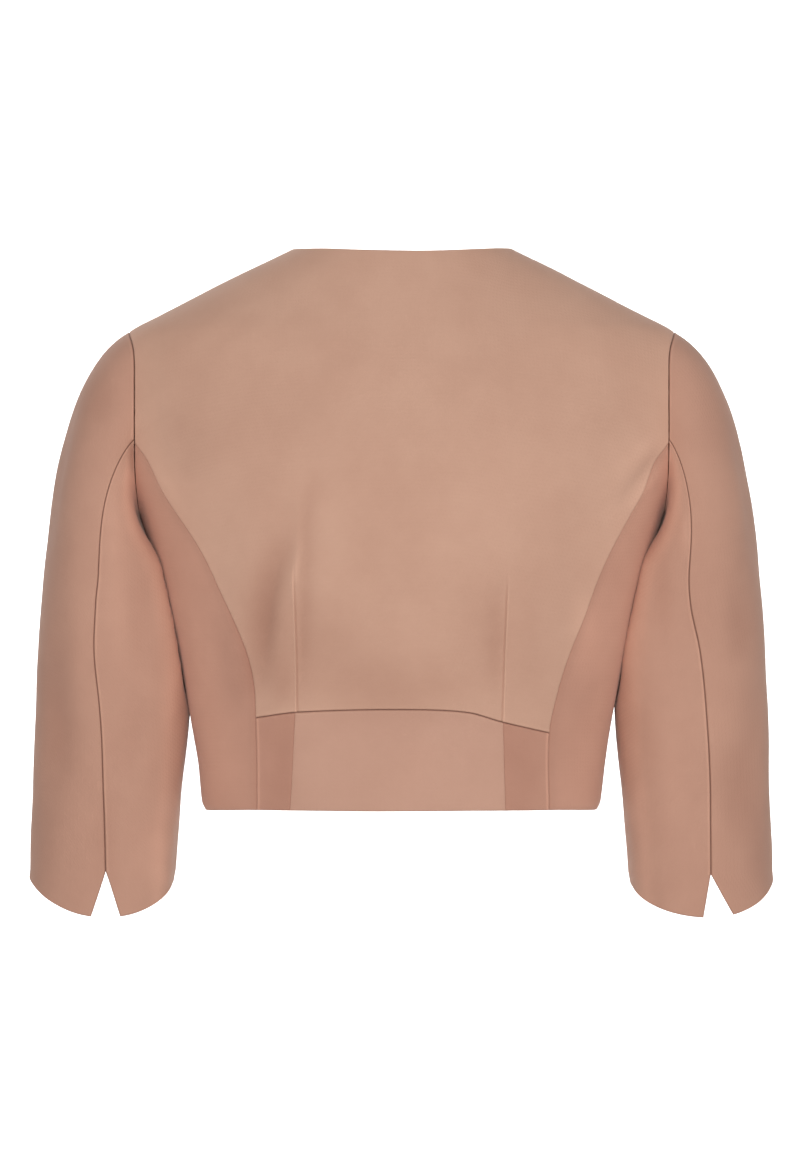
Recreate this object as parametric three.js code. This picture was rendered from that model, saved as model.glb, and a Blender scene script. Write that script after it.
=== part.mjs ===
// A cropped bolero jacket in its worn form: a hollow shell of sewn cloth panels, as if on shoulders.
// Millimetres, +Z up. The front faces -Y and the wearer's left is +X.
// The origin is the middle of the neck opening, level with the inner ends of the shoulder seams.
import * as THREE from "three";

// Driving sizes
const CLOTH = 1.8; // wall of a crepe panel with its turned-in allowances
const SEAM_GAP = 0.3; // open line between two sewn panels
const NECK_HALF = 79; // half width of the neck opening
const NECK_DIP = 3.5; // how far the back neckline falls at its middle
const TIP_Z = -60; // outer end of the shoulder seam
const UNDERARM_Z = -190; // bottom of the armhole
const HEM_Z = -401.5; // body hem
const FRONT_NECK_Z = -98; // lowest point of the front neckline
const FRONT_EDGE_X = 2; // half the opening down the centre front
const SLEEVE_CLEAR = 2.4; // air between a sleeve and the body beside it
const CLEAR_GROWS = 0.1; // share of the sleeve's length over which that air opens from the armhole
const MOST_PUSH = 40; // farthest that a sleeve is moved out to get it

// Level sections of the bodice: half width, depth behind and before the shoulder line, and how square
// each half is.
const BODICE = [
  { z: 0, half: NECK_HALF, back: 46, front: 34, backPower: 2.1, frontPower: 2 },
  { z: -28, half: 135, back: 61, front: 44, backPower: 2.1, frontPower: 2 },
  { z: -50, half: 177.5, back: 73, front: 55, backPower: 2.15, frontPower: 2.05 },
  { z: TIP_Z, half: 196, back: 79, front: 61, backPower: 2.2, frontPower: 2.1 },
  { z: -75, half: 207, back: 85, front: 68, backPower: 2.2, frontPower: 2.1 },
  { z: -100, half: 210, back: 95, front: 80, backPower: 2.25, frontPower: 2.15 },
  { z: -137, half: 207, back: 107, front: 97, backPower: 2.3, frontPower: 2.25 },
  { z: -165, half: 199, back: 112, front: 107, backPower: 2.35, frontPower: 2.35 },
  { z: -190, half: 188.5, back: 114, front: 114, backPower: 2.35, frontPower: 2.4 },
  { z: -230, half: 176.5, back: 111, front: 119, backPower: 2.35, frontPower: 2.45 },
  { z: -282, half: 163.5, back: 102, front: 115, backPower: 2.4, frontPower: 2.4 },
  { z: -330, half: 153, back: 91, front: 106, backPower: 2.4, frontPower: 2.3 },
  { z: -368, half: 146.3, back: 87, front: 101, backPower: 2.4, frontPower: 2.25 },
  { z: HEM_Z, half: 143, back: 86, front: 99, backPower: 2.4, frontPower: 2.25 },
];

// Distance of the armhole seam from the middle of the body, on the back and on the front.
const ARMHOLE = [
  { z: TIP_Z, back: 196, front: 196 },
  { z: -75, back: 191.3, front: 189.5 },
  { z: -100, back: 190.2, front: 185 },
  { z: -137, back: 190, front: 181.5 },
  { z: -165, back: 189.8, front: 183.5 },
  { z: UNDERARM_Z, back: 188.5, front: 188.5 },
];

// Distance of the curved back seams from the middle, on the wearer's left and right.
const PRINCESS = [
  { z: -152, left: 189.9, right: 189.9 },
  { z: -181, left: 170, right: 170.5 },
  { z: -217, left: 145, right: 149.5 },
  { z: -245, left: 129, right: 136.5 },
  { z: -274, left: 116, right: 125 },
  { z: -296, left: 108.5, right: 117 },
  { z: -318, left: 104, right: 110.5 },
  { z: -346, left: 103, right: 104.5 },
  { z: HEM_Z, left: 102.6, right: 104.4 },
];
const PRINCESS_TOP_Z = PRINCESS[0].z;

// Height of the seam across the small of the back.
const WAIST_SEAM = [
  { x: -105, z: -346.5 },
  { x: -71, z: -338.5 },
  { x: -46, z: -331.5 },
  { x: 0, z: -329.5 },
  { x: 74, z: -331.5 },
  { x: 103, z: -335.5 },
];

// Distance of the band's short upright seams from the middle, from the waist seam to the hem.
const BAND_SEAM = [
  { z: -330, left: 75, right: 71.3 },
  { z: HEM_Z, left: 79, right: 73.4 },
];

// The line of each dart, carried on up to the inner end of the shoulder seam.
const DART_LINE = [
  { z: -345, left: 75.4, right: 71.4 },
  { z: -250, left: 74.6, right: 74.6 },
  { z: -150, left: 77, right: 77 },
  { z: 0, left: NECK_HALF, right: NECK_HALF },
];

// Front neckline, from the front edge up to the inner end of the shoulder seam.
const FRONT_NECK = [
  { x: FRONT_EDGE_X, z: FRONT_NECK_Z },
  { x: 28, z: -88 },
  { x: 54, z: -60 },
  { x: 70, z: -28 },
  { x: NECK_HALF, z: 0 },
];

// Darts and soft folds of the back: both ends, width, and height, which is negative for a trough.
const BACK_FOLDS = [
  { x0: 74.5, z0: -248, x1: 74, z1: -330, wide: 3, deep: -1.1 },
  { x0: 95, z0: -214, x1: 84, z1: -298, wide: 12, deep: -3.2 },
  { x0: 70, z0: -176, x1: 74, z1: -250, wide: 9, deep: 2 },
  { x0: -75, z0: -252, x1: -71.5, z1: -336, wide: 3, deep: -1.1 },
  { x0: -79, z0: -196, x1: -72, z1: -300, wide: 13, deep: -1.6 },
  { x0: -172, z0: -192, x1: -152, z1: -222, wide: 7, deep: 1.2 },
  { x0: 164, z0: -184, x1: 144, z1: -212, wide: 7, deep: 1.2 },
];

// Level sections of a hanging sleeve below its cap: outer and inner edge, and depth behind and before
// the shoulder line.
const SLEEVE = [
  { z: -230, outer: 257.3, inner: 170, back: 57, front: 66 },
  { z: -282, outer: 261.7, inner: 160.5, back: 49, front: 65 },
  { z: -339, outer: 264.3, inner: 154.7, back: 40, front: 63 },
  { z: -397, outer: 266.2, inner: 159.8, back: 33, front: 61 },
  { z: -440, outer: 267.4, inner: 164, back: 29, front: 60 },
  { z: -482, outer: 268.6, inner: 166, back: 26, front: 59 },
];
const CAP_Z = SLEEVE[0].z;
const CAP_SHARE = 0.4; // share of the sleeve's length that its cap takes
const CAP_LEAD = 0.315; // how far the cap runs on past the armhole, as a share of its length
const CAP_FALL = 0.215; // the same where it joins the sleeve below
const CAP_SLOPE = 28.8; // degrees by which the cap falls at the shoulder
const CAP_TURN = 60; // further degrees by the underarm
const CAP_TURN_POWER = 1.5; // how late round the armhole they come
const CAP_SPREAD = 0.28; // how far the cap opens backwards and forwards as it leaves the armhole
const SLEEVE_RADIUS = 48; // mean radius, which turns distances round the sleeve into degrees

// Turn of the rear sleeve seam about the arm, in degrees from straight behind, down each sleeve.
const REAR_SEAM = [
  { along: 0, left: -11.8, right: -11.8 },
  { along: 0.2, left: -1, right: -10 },
  { along: 0.4, left: 2, right: -12 },
  { along: 0.46, left: 6.2, right: -8.5 },
  { along: 0.54, left: 9, right: 1.5 },
  { along: 0.63, left: 6.5, right: 7.6 },
  { along: 0.73, left: 2.8, right: 9.3 },
  { along: 0.92, left: -4.8, right: 5.6 },
  { along: 1, left: -5.5, right: 4.5 },
];
const FORE_SEAM_TURN = 220.91; // front sleeve seam, on the inner side of the arm

// The V cut in each sleeve hem: its top, how far each half opens, and how far round the hem rises from it.
const VENT = {
  left: { top: -447, upper: 9.5, under: 10.5, upperRun: 98, underRun: 100 },
  right: { top: -449, upper: 16, under: 5, upperRun: 96, underRun: 118 },
};
const CUFF_LOW_Z = -480; // the two points beside the V
const CUFF_RISE = 29; // rise of the hem from those points

// Columns and rows of the panels' faces. Neighbours share them along their seam.
const COLUMNS = { middle: 8, flank: 6, frontNeck: 8, frontShoulder: 8 };
const ROWS = { band: 4, back: 10, armhole: 6, underarm: 4, frontArmhole: 11 };
const SLEEVE_ROWS = { above: 15, vent: 3 };
const DART_SHARE = 0.5; // share of the middle back's half at which its dart lies
const DART_COLUMN = 4; // distance from a dart to the next column towards the middle
const NECK_SHARE = 0.5; // share of a front's top edge that its neckline takes

// Steps over which outward directions are measured, in degrees, millimetres and shares of a length
const BODICE_STEP = 0.5;
const BODICE_EDGE = 0.6;
const SLEEVE_TURN_STEP = 1;
const SLEEVE_ALONG_STEP = 0.004;

const COLOURS = { body: 0xc39b86, band: 0xc59e89, side: 0xbb927d, sleeve: 0xb98f7a };

// Smooth value of one column of a table, read at a place along another column.
function column(table, key, at, along = "z") {
  const rows = [...table].sort((a, b) => a[along] - b[along]);
  const last = rows.length - 1;
  const x = THREE.MathUtils.clamp(at, rows[0][along], rows[last][along]);
  let i = 0;
  while (i < last - 1 && x > rows[i + 1][along]) i++;
  const slope = (k) => {
    const low = rows[Math.max(k - 1, 0)];
    const high = rows[Math.min(k + 1, last)];
    return (high[key] - low[key]) / (high[along] - low[along]);
  };
  const span = rows[i + 1][along] - rows[i][along];
  const t = (x - rows[i][along]) / span;
  const s = 1 - t;
  const ends = rows[i][key] * s * s * (1 + 2 * t) + rows[i + 1][key] * t * t * (3 - 2 * t);
  return ends + span * t * s * (s * slope(i) - t * slope(i + 1));
}

// Bodice surface

// A point of the bodice at a turn from the centre back (0) over the side (90) to the centre front (180).
function bodiceAt(turn, z) {
  const half = column(BODICE, "half", z);
  const face = turn > 90 ? "front" : "back";
  const depth = column(BODICE, face, z);
  const power = 2 / column(BODICE, face + "Power", z);
  const angle = THREE.MathUtils.degToRad(turn);
  const y = depth * Math.pow(Math.abs(Math.cos(angle)), power);
  const sine = Math.sin(angle);
  const x = half * Math.sign(sine) * Math.pow(Math.abs(sine), power);
  return new THREE.Vector3(x, face === "front" ? -y : y, z);
}

// The turn at which the bodice is a given distance out from the middle.
function turnOf(x, z, face) {
  const reach = THREE.MathUtils.clamp(Math.abs(x) / column(BODICE, "half", z), 0, 1);
  const sine = Math.pow(reach, column(BODICE, face + "Power", z) / 2);
  const turn = THREE.MathUtils.radToDeg(Math.asin(sine));
  return face === "front" ? 180 - turn : turn;
}

// Outward direction of a surface given as a function of two numbers.
function normalOf(surface, u, v, du, dv) {
  const alongU = surface(u + du, v).sub(surface(u - du, v));
  const alongV = surface(u, v + dv).sub(surface(u, v - dv));
  return alongU.cross(alongV).normalize();
}

// Height of the folds pressed into the back at one place.
function foldHeight(x, z) {
  let height = 0;
  for (const fold of BACK_FOLDS) {
    const runX = fold.x1 - fold.x0;
    const runZ = fold.z1 - fold.z0;
    const length = runX * runX + runZ * runZ;
    const share = ((x - fold.x0) * runX + (z - fold.z0) * runZ) / length;
    const t = THREE.MathUtils.clamp(share, 0, 1);
    const off = Math.hypot(x - fold.x0 - t * runX, z - fold.z0 - t * runZ) / fold.wide;
    height += fold.deep * Math.exp(-off * off);
  }
  return height;
}

// Outer point and outward direction of the bodice at a place seen from behind or from the front.
function bodicePoint(x, z, face) {
  const turn = turnOf(x, z, face);
  const point = bodiceAt(turn, z);
  const inTurn = THREE.MathUtils.clamp(turn, 0, 180 - BODICE_EDGE);
  const inZ = Math.min(z, -BODICE_EDGE);
  const out = normalOf(bodiceAt, inTurn, inZ, BODICE_STEP, -BODICE_STEP);
  if (x < 0) {
    point.x *= -1;
    out.x *= -1;
  }
  if (face === "back") point.addScaledVector(out, foldHeight(x, z));
  return { point, out };
}

// Edges of the bodice panels, seen from behind or from the front

// Outer edge of the bodice at a height: the armhole down to the underarm, then the side.
function sideX(z, face) {
  return z > UNDERARM_Z ? column(ARMHOLE, face, z) : column(BODICE, "half", z);
}

// A point on the shoulder line, given its distance from the middle.
function shoulderPoint(x) {
  let low = TIP_Z;
  let high = 0;
  for (let halving = 0; halving < 30; halving++) {
    const middle = (low + high) / 2;
    if (column(BODICE, "half", middle) > x) low = middle;
    else high = middle;
  }
  return new THREE.Vector2(x, (low + high) / 2);
}

// Height of the back's top edge: the neckline with its dip, then the shoulder line.
function backTopZ(x) {
  const out = Math.abs(x);
  if (out > NECK_HALF) return shoulderPoint(out).y;
  return -NECK_DIP * Math.pow(Math.cos((out / NECK_HALF) * (Math.PI / 2)), 1.2);
}

// Top edge of a front: the neckline up to the shoulder line, then along it.
function frontTop(x) {
  if (x > NECK_HALF) return shoulderPoint(x);
  return new THREE.Vector2(x, column(FRONT_NECK, "z", x, "x"));
}

// Blends four edges into a grid of places, as a cutter lays a pattern piece.
function patch(bottom, top, left, right) {
  return (u, v) => {
    const place = bottom(u).multiplyScalar(1 - v).add(top(u).multiplyScalar(v));
    place.add(left(v).multiplyScalar(1 - u)).add(right(v).multiplyScalar(u));
    const corners = [
      [bottom(0), (1 - u) * (1 - v)],
      [bottom(1), u * (1 - v)],
      [top(0), (1 - u) * v],
      [top(1), u * v],
    ];
    corners.forEach(([corner, share]) => place.addScaledVector(corner, -share));
    return place;
  };
}

// Evenly spaced numbers from one end to the other, both included.
const steps = (from, to, count) =>
  Array.from({ length: count + 1 }, (_, i) => from + ((to - from) * i) / count);

// The same, crowded towards the end, where the cloth turns over an edge.
const crowded = (from, to, count) =>
  steps(0, Math.PI / 2, count).map((angle) => from + (to - from) * Math.sin(angle));

// Walls

// A closed wall from a grid of outer points: its inner face lies one cloth thickness behind.
function wall(sample, across, up) {
  const columns = across.length - 1;
  const rows = up.length - 1;
  const outer = [];
  const inner = [];
  for (const v of up) {
    for (const u of across) {
      const { point, out } = sample(u, v);
      outer.push(point);
      inner.push(point.clone().addScaledVector(out, -CLOTH));
    }
  }
  const positions = [...outer, ...inner].flatMap((p) => [p.x, p.y, p.z]);
  const at = (i, j, layer) => layer * outer.length + j * (columns + 1) + i;
  const index = [];
  const quad = (a, b, c, d) => index.push(a, b, c, a, c, d);
  for (let j = 0; j < rows; j++) {
    for (let i = 0; i < columns; i++) {
      quad(at(i, j, 0), at(i + 1, j, 0), at(i + 1, j + 1, 0), at(i, j + 1, 0));
      quad(at(i, j, 1), at(i, j + 1, 1), at(i + 1, j + 1, 1), at(i + 1, j, 1));
    }
    quad(at(0, j, 0), at(0, j + 1, 0), at(0, j + 1, 1), at(0, j, 1));
    quad(at(columns, j, 0), at(columns, j, 1), at(columns, j + 1, 1), at(columns, j + 1, 0));
  }
  for (let i = 0; i < columns; i++) {
    quad(at(i, 0, 0), at(i, 0, 1), at(i + 1, 0, 1), at(i + 1, 0, 0));
    quad(at(i, rows, 0), at(i + 1, rows, 0), at(i + 1, rows, 1), at(i, rows, 1));
  }
  const geometry = new THREE.BufferGeometry();
  geometry.setAttribute("position", new THREE.Float32BufferAttribute(positions, 3));
  geometry.setIndex(facingOut(positions, index));
  geometry.computeVertexNormals();
  return geometry;
}

// The faces as they are, or all turned round if they face inwards.
function facingOut(positions, index) {
  const corner = (k) => new THREE.Vector3().fromArray(positions, index[k] * 3);
  let volume = 0;
  for (let k = 0; k < index.length; k += 3) {
    volume += corner(k).dot(corner(k + 1).cross(corner(k + 2)));
  }
  return volume > 0 ? index : [...index].reverse();
}

// Adds a named panel to a group.
function addPanel(group, name, geometry, color) {
  const cloth = new THREE.MeshStandardMaterial({ color, roughness: 0.85 });
  const mesh = new THREE.Mesh(geometry, cloth);
  mesh.name = name;
  group.add(mesh);
}

// A bodice panel from a grid of places, held half a seam gap clear of the shoulder and side lines.
function bodicePanel(place, face, across, up) {
  const least = SEAM_GAP / 2;
  const sample = (u, v) => {
    const { x, y: z } = place(u, v);
    const made = bodicePoint(x, Math.min(z, 0), face);
    if (Math.abs(made.point.y) < least) made.point.y = face === "back" ? least : -least;
    return made;
  };
  return wall(sample, across, up);
}

// Seams of the back

const signOf = { left: 1, right: -1 };
const princessX = (z, side) => signOf[side] * column(PRINCESS, side, z);
const bandX = (z, side) => signOf[side] * column(BAND_SEAM, side, z);
const waistZ = (x) => column(WAIST_SEAM, "z", x, "x");

// Height at which a near-upright seam meets the waist seam.
function waistOn(seam) {
  let z = waistZ(0);
  for (let round = 0; round < 5; round++) z = waistZ(seam(z));
  return z;
}

// Height on the armhole at a turn about the arm: 90 is the shoulder tip, -90 and 270 are the underarm.
function armholeZ(turn) {
  const share = (1 - Math.sin(THREE.MathUtils.degToRad(turn))) / 2;
  return THREE.MathUtils.lerp(TIP_Z, UNDERARM_Z, share);
}

// Turns of the stations that the bodice and the sleeve share round the armhole.
const PRINCESS_TURN = THREE.MathUtils.radToDeg(
  Math.asin(1 - (2 * (PRINCESS_TOP_Z - TIP_Z)) / (UNDERARM_Z - TIP_Z)),
);
const BACK_TURNS = [PRINCESS_TURN, ...steps(REAR_SEAM[0].left, 90, ROWS.armhole)];
const UNDERARM_TURNS = steps(PRINCESS_TURN, -90, ROWS.underarm);
const FRONT_TURNS = steps(270, 90, ROWS.frontArmhole);

// Half a seam gap measured sideways, for a seam that leans.
function sideGap(seam, z) {
  const lean = (seam(z + 1) - seam(z - 1)) / 2;
  return (SEAM_GAP / 2) * Math.hypot(1, lean);
}

// Heights shared along a curved back seam: hem to waist seam, and waist seam to armhole.
const bandHeights = (side) => steps(HEM_Z, waistOn((z) => princessX(z, side)), ROWS.band);
const backHeights = (side) => steps(waistOn((z) => princessX(z, side)), PRINCESS_TOP_Z, ROWS.back);

// Column lines of the middle back, as shares from the middle (0) to its edge (1).
function middleShares(side) {
  const dart = Math.abs(bandX(WAIST_SEAM[4].z, side));
  const beside = DART_SHARE * (1 - DART_COLUMN / dart);
  const half = [...steps(0, beside, COLUMNS.middle), ...steps(DART_SHARE, 1, COLUMNS.flank)];
  return half.map((share) => share * signOf[side]);
}

// Edge of the middle back: up the curved seam from the waist seam, then up the armhole.
function middleEdgeX(z, side) {
  if (z > PRINCESS_TOP_Z) return signOf[side] * sideX(z, "back");
  const seam = (at) => princessX(at, side);
  return seam(z) - signOf[side] * sideGap(seam, z);
}

// A place of the middle back: a share across, and a share up from the waist seam (0) to the shoulder (1).
function middlePlace(share, v) {
  const side = share < 0 ? "right" : "left";
  const low = waistOn((z) => princessX(z, side)) + SEAM_GAP / 2;
  const dartX = (z) => signOf[side] * column(DART_LINE, side, z);
  const across = (edge, dart) => {
    const t = Math.abs(share) / DART_SHARE;
    return t < 1 ? dart * t : THREE.MathUtils.lerp(dart, edge, ((t - 1) * DART_SHARE) / (1 - DART_SHARE));
  };
  const bottomX = across(middleEdgeX(low, side), dartX(low));
  const topX = across(middleEdgeX(TIP_Z, side), dartX(0));
  const bottomZ = Math.abs(share) === 1 ? low : waistZ(bottomX) + SEAM_GAP / 2;
  const z = THREE.MathUtils.lerp(bottomZ, backTopZ(topX), v);
  const edgeZ = THREE.MathUtils.lerp(low, TIP_Z, v);
  const dartZ = THREE.MathUtils.lerp(waistZ(dartX(low)) + SEAM_GAP / 2, 0, v);
  return new THREE.Vector2(across(middleEdgeX(edgeZ, side), dartX(dartZ)), z);
}

// Middle back: from the waist seam to the neckline and the shoulder seams.
function middleBack() {
  const across = [...middleShares("right").reverse(), ...middleShares("left").slice(1)];
  const low = backHeights("left")[0];
  const heights = [...backHeights("left"), ...BACK_TURNS.slice(1).map(armholeZ)];
  const up = heights.map((z) => (z - low) / (TIP_Z - low));
  return bodicePanel(middlePlace, "back", across, up);
}

// Side back: from the curved seam to the side seam, and from the hem to the armhole.
function sideBack(side) {
  const sign = signOf[side];
  const seam = (z) => princessX(z, side);
  const heights = [...bandHeights(side), ...backHeights(side).slice(1)];
  const up = heights.map((z) => (z - HEM_Z) / (PRINCESS_TOP_Z - HEM_Z));
  const inner = (v) => {
    const z = THREE.MathUtils.lerp(HEM_Z, PRINCESS_TOP_Z, v);
    return new THREE.Vector2(seam(z) + sign * sideGap(seam, z), z);
  };
  const outer = (v) => {
    const z = THREE.MathUtils.lerp(HEM_Z, UNDERARM_Z, v);
    return new THREE.Vector2(sign * sideX(z, "back"), z);
  };
  const bottom = (u) => new THREE.Vector2(THREE.MathUtils.lerp(inner(0).x, outer(0).x, u), HEM_Z);
  const top = (u) => {
    if (u === 0) return inner(1);
    const share = (Math.asin(Math.min(u, 1)) * 2) / Math.PI;
    const z = armholeZ(THREE.MathUtils.lerp(PRINCESS_TURN, -90, share));
    return new THREE.Vector2(sign * sideX(z, "back"), z);
  };
  return bodicePanel(patch(bottom, top, inner, outer), "back", crowded(0, 1, ROWS.underarm * 2), up);
}

// One piece of the band under the waist seam, given its two upright seams and the columns it shares above.
function bandPanel(rightSeam, leftSeam, shares) {
  const gap = SEAM_GAP / 2;
  const tops = shares.map((share) => middlePlace(share, 0).x);
  tops[0] = rightSeam(waistOn(rightSeam)) + gap;
  tops[tops.length - 1] = leftSeam(waistOn(leftSeam)) - gap;
  const across = tops.map((x) => (x - tops[0]) / (tops[tops.length - 1] - tops[0]));
  const place = (u, v) => {
    const topX = THREE.MathUtils.lerp(tops[0], tops[tops.length - 1], u);
    const z = THREE.MathUtils.lerp(HEM_Z, waistZ(topX) - gap, v);
    return new THREE.Vector2(THREE.MathUtils.lerp(rightSeam(z) + gap, leftSeam(z) - gap, u), z);
  };
  return bodicePanel(place, "back", across, steps(0, 1, ROWS.band));
}

// A front, from its free edge to the side seam. The right front mirrors the left one.
function front(side) {
  const sign = signOf[side];
  const seamHeights = [...bandHeights(side), ...backHeights(side).slice(1)].map((z) =>
    THREE.MathUtils.mapLinear(z, HEM_Z, PRINCESS_TOP_Z, HEM_Z, UNDERARM_Z),
  );
  const heights = [...seamHeights, ...FRONT_TURNS.slice(1).map(armholeZ)];
  const up = heights.map((z) => (z - HEM_Z) / (TIP_Z - HEM_Z));
  const inner = (v) => new THREE.Vector2(FRONT_EDGE_X, THREE.MathUtils.lerp(HEM_Z, FRONT_NECK_Z, v));
  const outer = (v) => {
    const z = THREE.MathUtils.lerp(HEM_Z, TIP_Z, v);
    return new THREE.Vector2(sideX(z, "front"), z);
  };
  const bottom = (u) => {
    const t = Math.sin((u * Math.PI) / 2);
    return new THREE.Vector2(THREE.MathUtils.lerp(FRONT_EDGE_X, outer(0).x, t), HEM_Z);
  };
  const top = (u) => {
    if (u < NECK_SHARE) return frontTop(THREE.MathUtils.lerp(FRONT_EDGE_X, NECK_HALF, u / NECK_SHARE));
    return frontTop(THREE.MathUtils.mapLinear(u, NECK_SHARE, 1, NECK_HALF, outer(1).x));
  };
  const laid = patch(bottom, top, inner, outer);
  const place = (u, v) => {
    const { x, y } = laid(u, v);
    return new THREE.Vector2(sign * x, y);
  };
  const neck = steps(0, NECK_SHARE, COLUMNS.frontNeck);
  const shoulder = steps(NECK_SHARE, 1, COLUMNS.frontShoulder).slice(1);
  return bodicePanel(place, "front", [...neck, ...shoulder], up);
}

// Sleeves

// A point of the armhole seam at a turn about the arm: 90 is the shoulder tip, -90 the underarm, 0 behind.
function armholePoint(turn) {
  const face = Math.cos(THREE.MathUtils.degToRad(turn)) >= 0 ? "back" : "front";
  const z = armholeZ(turn);
  const x = sideX(z, face);
  return bodiceAt(turnOf(x, z, face), z);
}

// A point of the hanging part of the sleeve at a turn about the arm and a height.
function tubePoint(turn, z) {
  const angle = THREE.MathUtils.degToRad(turn);
  const outer = column(SLEEVE, "outer", z);
  const inner = column(SLEEVE, "inner", z);
  const back = column(SLEEVE, "back", z);
  const front = column(SLEEVE, "front", z);
  const x = (outer + inner) / 2 + ((outer - inner) / 2) * Math.sin(angle);
  const y = (back - front) / 2 + ((back + front) / 2) * Math.cos(angle);
  return new THREE.Vector3(x, y, z);
}

// Direction in which the cap leaves the armhole.
function capLead(turn) {
  const angle = THREE.MathUtils.degToRad(turn);
  const low = Math.pow((1 - Math.sin(angle)) / 2, CAP_TURN_POWER);
  const fall = THREE.MathUtils.degToRad(CAP_SLOPE + CAP_TURN * low);
  return new THREE.Vector3(Math.cos(fall), CAP_SPREAD * Math.cos(angle), -Math.sin(fall)).normalize();
}

// A point of the cap at a turn about the arm and a share of the cap's length.
function capPoint(turn, share) {
  const start = armholePoint(turn);
  start.x += SEAM_GAP;
  const end = tubePoint(turn, CAP_Z);
  const rise = tubePoint(turn, CAP_Z).sub(tubePoint(turn, CAP_Z - 4)).normalize();
  const reach = start.distanceTo(end);
  const first = start.clone().addScaledVector(capLead(turn), CAP_LEAD * reach);
  const second = end.clone().addScaledVector(rise, CAP_FALL * reach);
  return new THREE.CubicBezierCurve3(start, first, second, end).getPoint(share);
}

// A point of the sleeve at a turn about the arm and a share of its length, kept clear of the body.
function sleevePoint(turn, along) {
  if (along < CAP_SHARE) return clearOfBody(capPoint(turn, Math.max(along, 0) / CAP_SHARE), along);
  const z = THREE.MathUtils.mapLinear(along, CAP_SHARE, 1, CAP_Z, CUFF_LOW_Z);
  return clearOfBody(tubePoint(turn, z), along);
}

// Moves a sleeve point outwards until it clears the side of the bodice.
function clearOfBody(point, along) {
  const face = point.y < 0 ? "front" : "back";
  const power = column(BODICE, face + "Power", point.z);
  const share = Math.min(Math.abs(point.y) / column(BODICE, face, point.z), 1);
  const edge = column(BODICE, "half", point.z) * Math.pow(1 - Math.pow(share, power), 1 / power);
  const over = Math.min(edge + SLEEVE_CLEAR - point.x, MOST_PUSH);
  const grown = THREE.MathUtils.smoothstep(along, 0, CLEAR_GROWS);
  point.x += grown * Math.log(1 + Math.exp(over));
  return point;
}

// Height of the sleeve hem at a distance round the sleeve from its rear seam.
function cuffZ(distance, run) {
  const share = Math.min(Math.abs(distance) / run, 1);
  return CUFF_LOW_Z + (CUFF_RISE * (1 - Math.cos(share * Math.PI))) / 2;
}

// One half of a sleeve, between the rear seam and the front seam. The V opens at the foot of the rear seam.
function sleevePanel(side, half) {
  const vent = VENT[side];
  const upper = half === "upper";
  const ventAlong = THREE.MathUtils.mapLinear(vent.top, CAP_Z, CUFF_LOW_Z, CAP_SHARE, 1);
  const seamTurn = (along) => column(REAR_SEAM, side, along, "along");
  const degrees = (length) => THREE.MathUtils.radToDeg(length / SLEEVE_RADIUS);
  const sewn = upper ? SEAM_GAP / 2 : -SEAM_GAP / 2;
  const farTurn = (upper ? FORE_SEAM_TURN : FORE_SEAM_TURN - 360) - degrees(sewn);
  const sample = (u, v) => {
    const share = Math.max(v, 0);
    const along = share > 0 ? THREE.MathUtils.lerp(ventAlong, 1, share) : ventAlong * (1 + v);
    const opened = share * (upper ? vent.upper : -vent.under);
    const turn = THREE.MathUtils.lerp(seamTurn(along) + degrees(opened + sewn), farTurn, u);
    const point = sleevePoint(turn, along);
    const inAlong = Math.max(along, SLEEVE_ALONG_STEP);
    const out = normalOf(sleevePoint, turn, inAlong, SLEEVE_TURN_STEP, SLEEVE_ALONG_STEP);
    if (share > 0) {
      const distance = THREE.MathUtils.degToRad(turn - seamTurn(1)) * SLEEVE_RADIUS;
      const hemZ = cuffZ(distance, upper ? vent.upperRun : vent.underRun);
      point.z = THREE.MathUtils.lerp(vent.top, hemZ, share);
    }
    point.x *= signOf[side];
    out.x *= signOf[side];
    return { point, out };
  };
  const up = [...steps(-1, 0, SLEEVE_ROWS.above), ...steps(0, 1, SLEEVE_ROWS.vent).slice(1)];
  const overTop = FRONT_TURNS.filter((turn) => turn > 91 && turn < FORE_SEAM_TURN + 1).reverse();
  const below = FRONT_TURNS.filter((turn) => turn < 269 && turn > FORE_SEAM_TURN - 1);
  const upperTurns = [...BACK_TURNS.slice(2), ...overTop];
  const underTurns = [...UNDERARM_TURNS, ...below.map((turn) => turn - 360)];
  const stations = [seamTurn(0), ...(upper ? upperTurns : underTurns)];
  const first = stations[0];
  const last = stations[stations.length - 1];
  const across = stations.map((turn) => (turn - first) / (last - first));
  return wall(sample, across, up);
}

// The three pieces of the band below the waist seam, in the columns of the middle back above them.
function addBand(jacket) {
  const princess = (side) => (z) => princessX(z, side);
  const band = (side) => (z) => bandX(z, side);
  const outside = (side) => middleShares(side).filter((share) => Math.abs(share) >= DART_SHARE);
  const inside = (side) => middleShares(side).filter((share) => Math.abs(share) <= DART_SHARE);
  const middle = [...inside("right").reverse(), ...inside("left").slice(1)];
  const right = outside("right").reverse();
  addPanel(jacket, "band_middle", bandPanel(band("right"), band("left"), middle), COLOURS.band);
  addPanel(jacket, "band_left", bandPanel(band("left"), princess("left"), outside("left")), COLOURS.side);
  addPanel(jacket, "band_right", bandPanel(princess("right"), band("right"), right), COLOURS.side);
}

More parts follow.
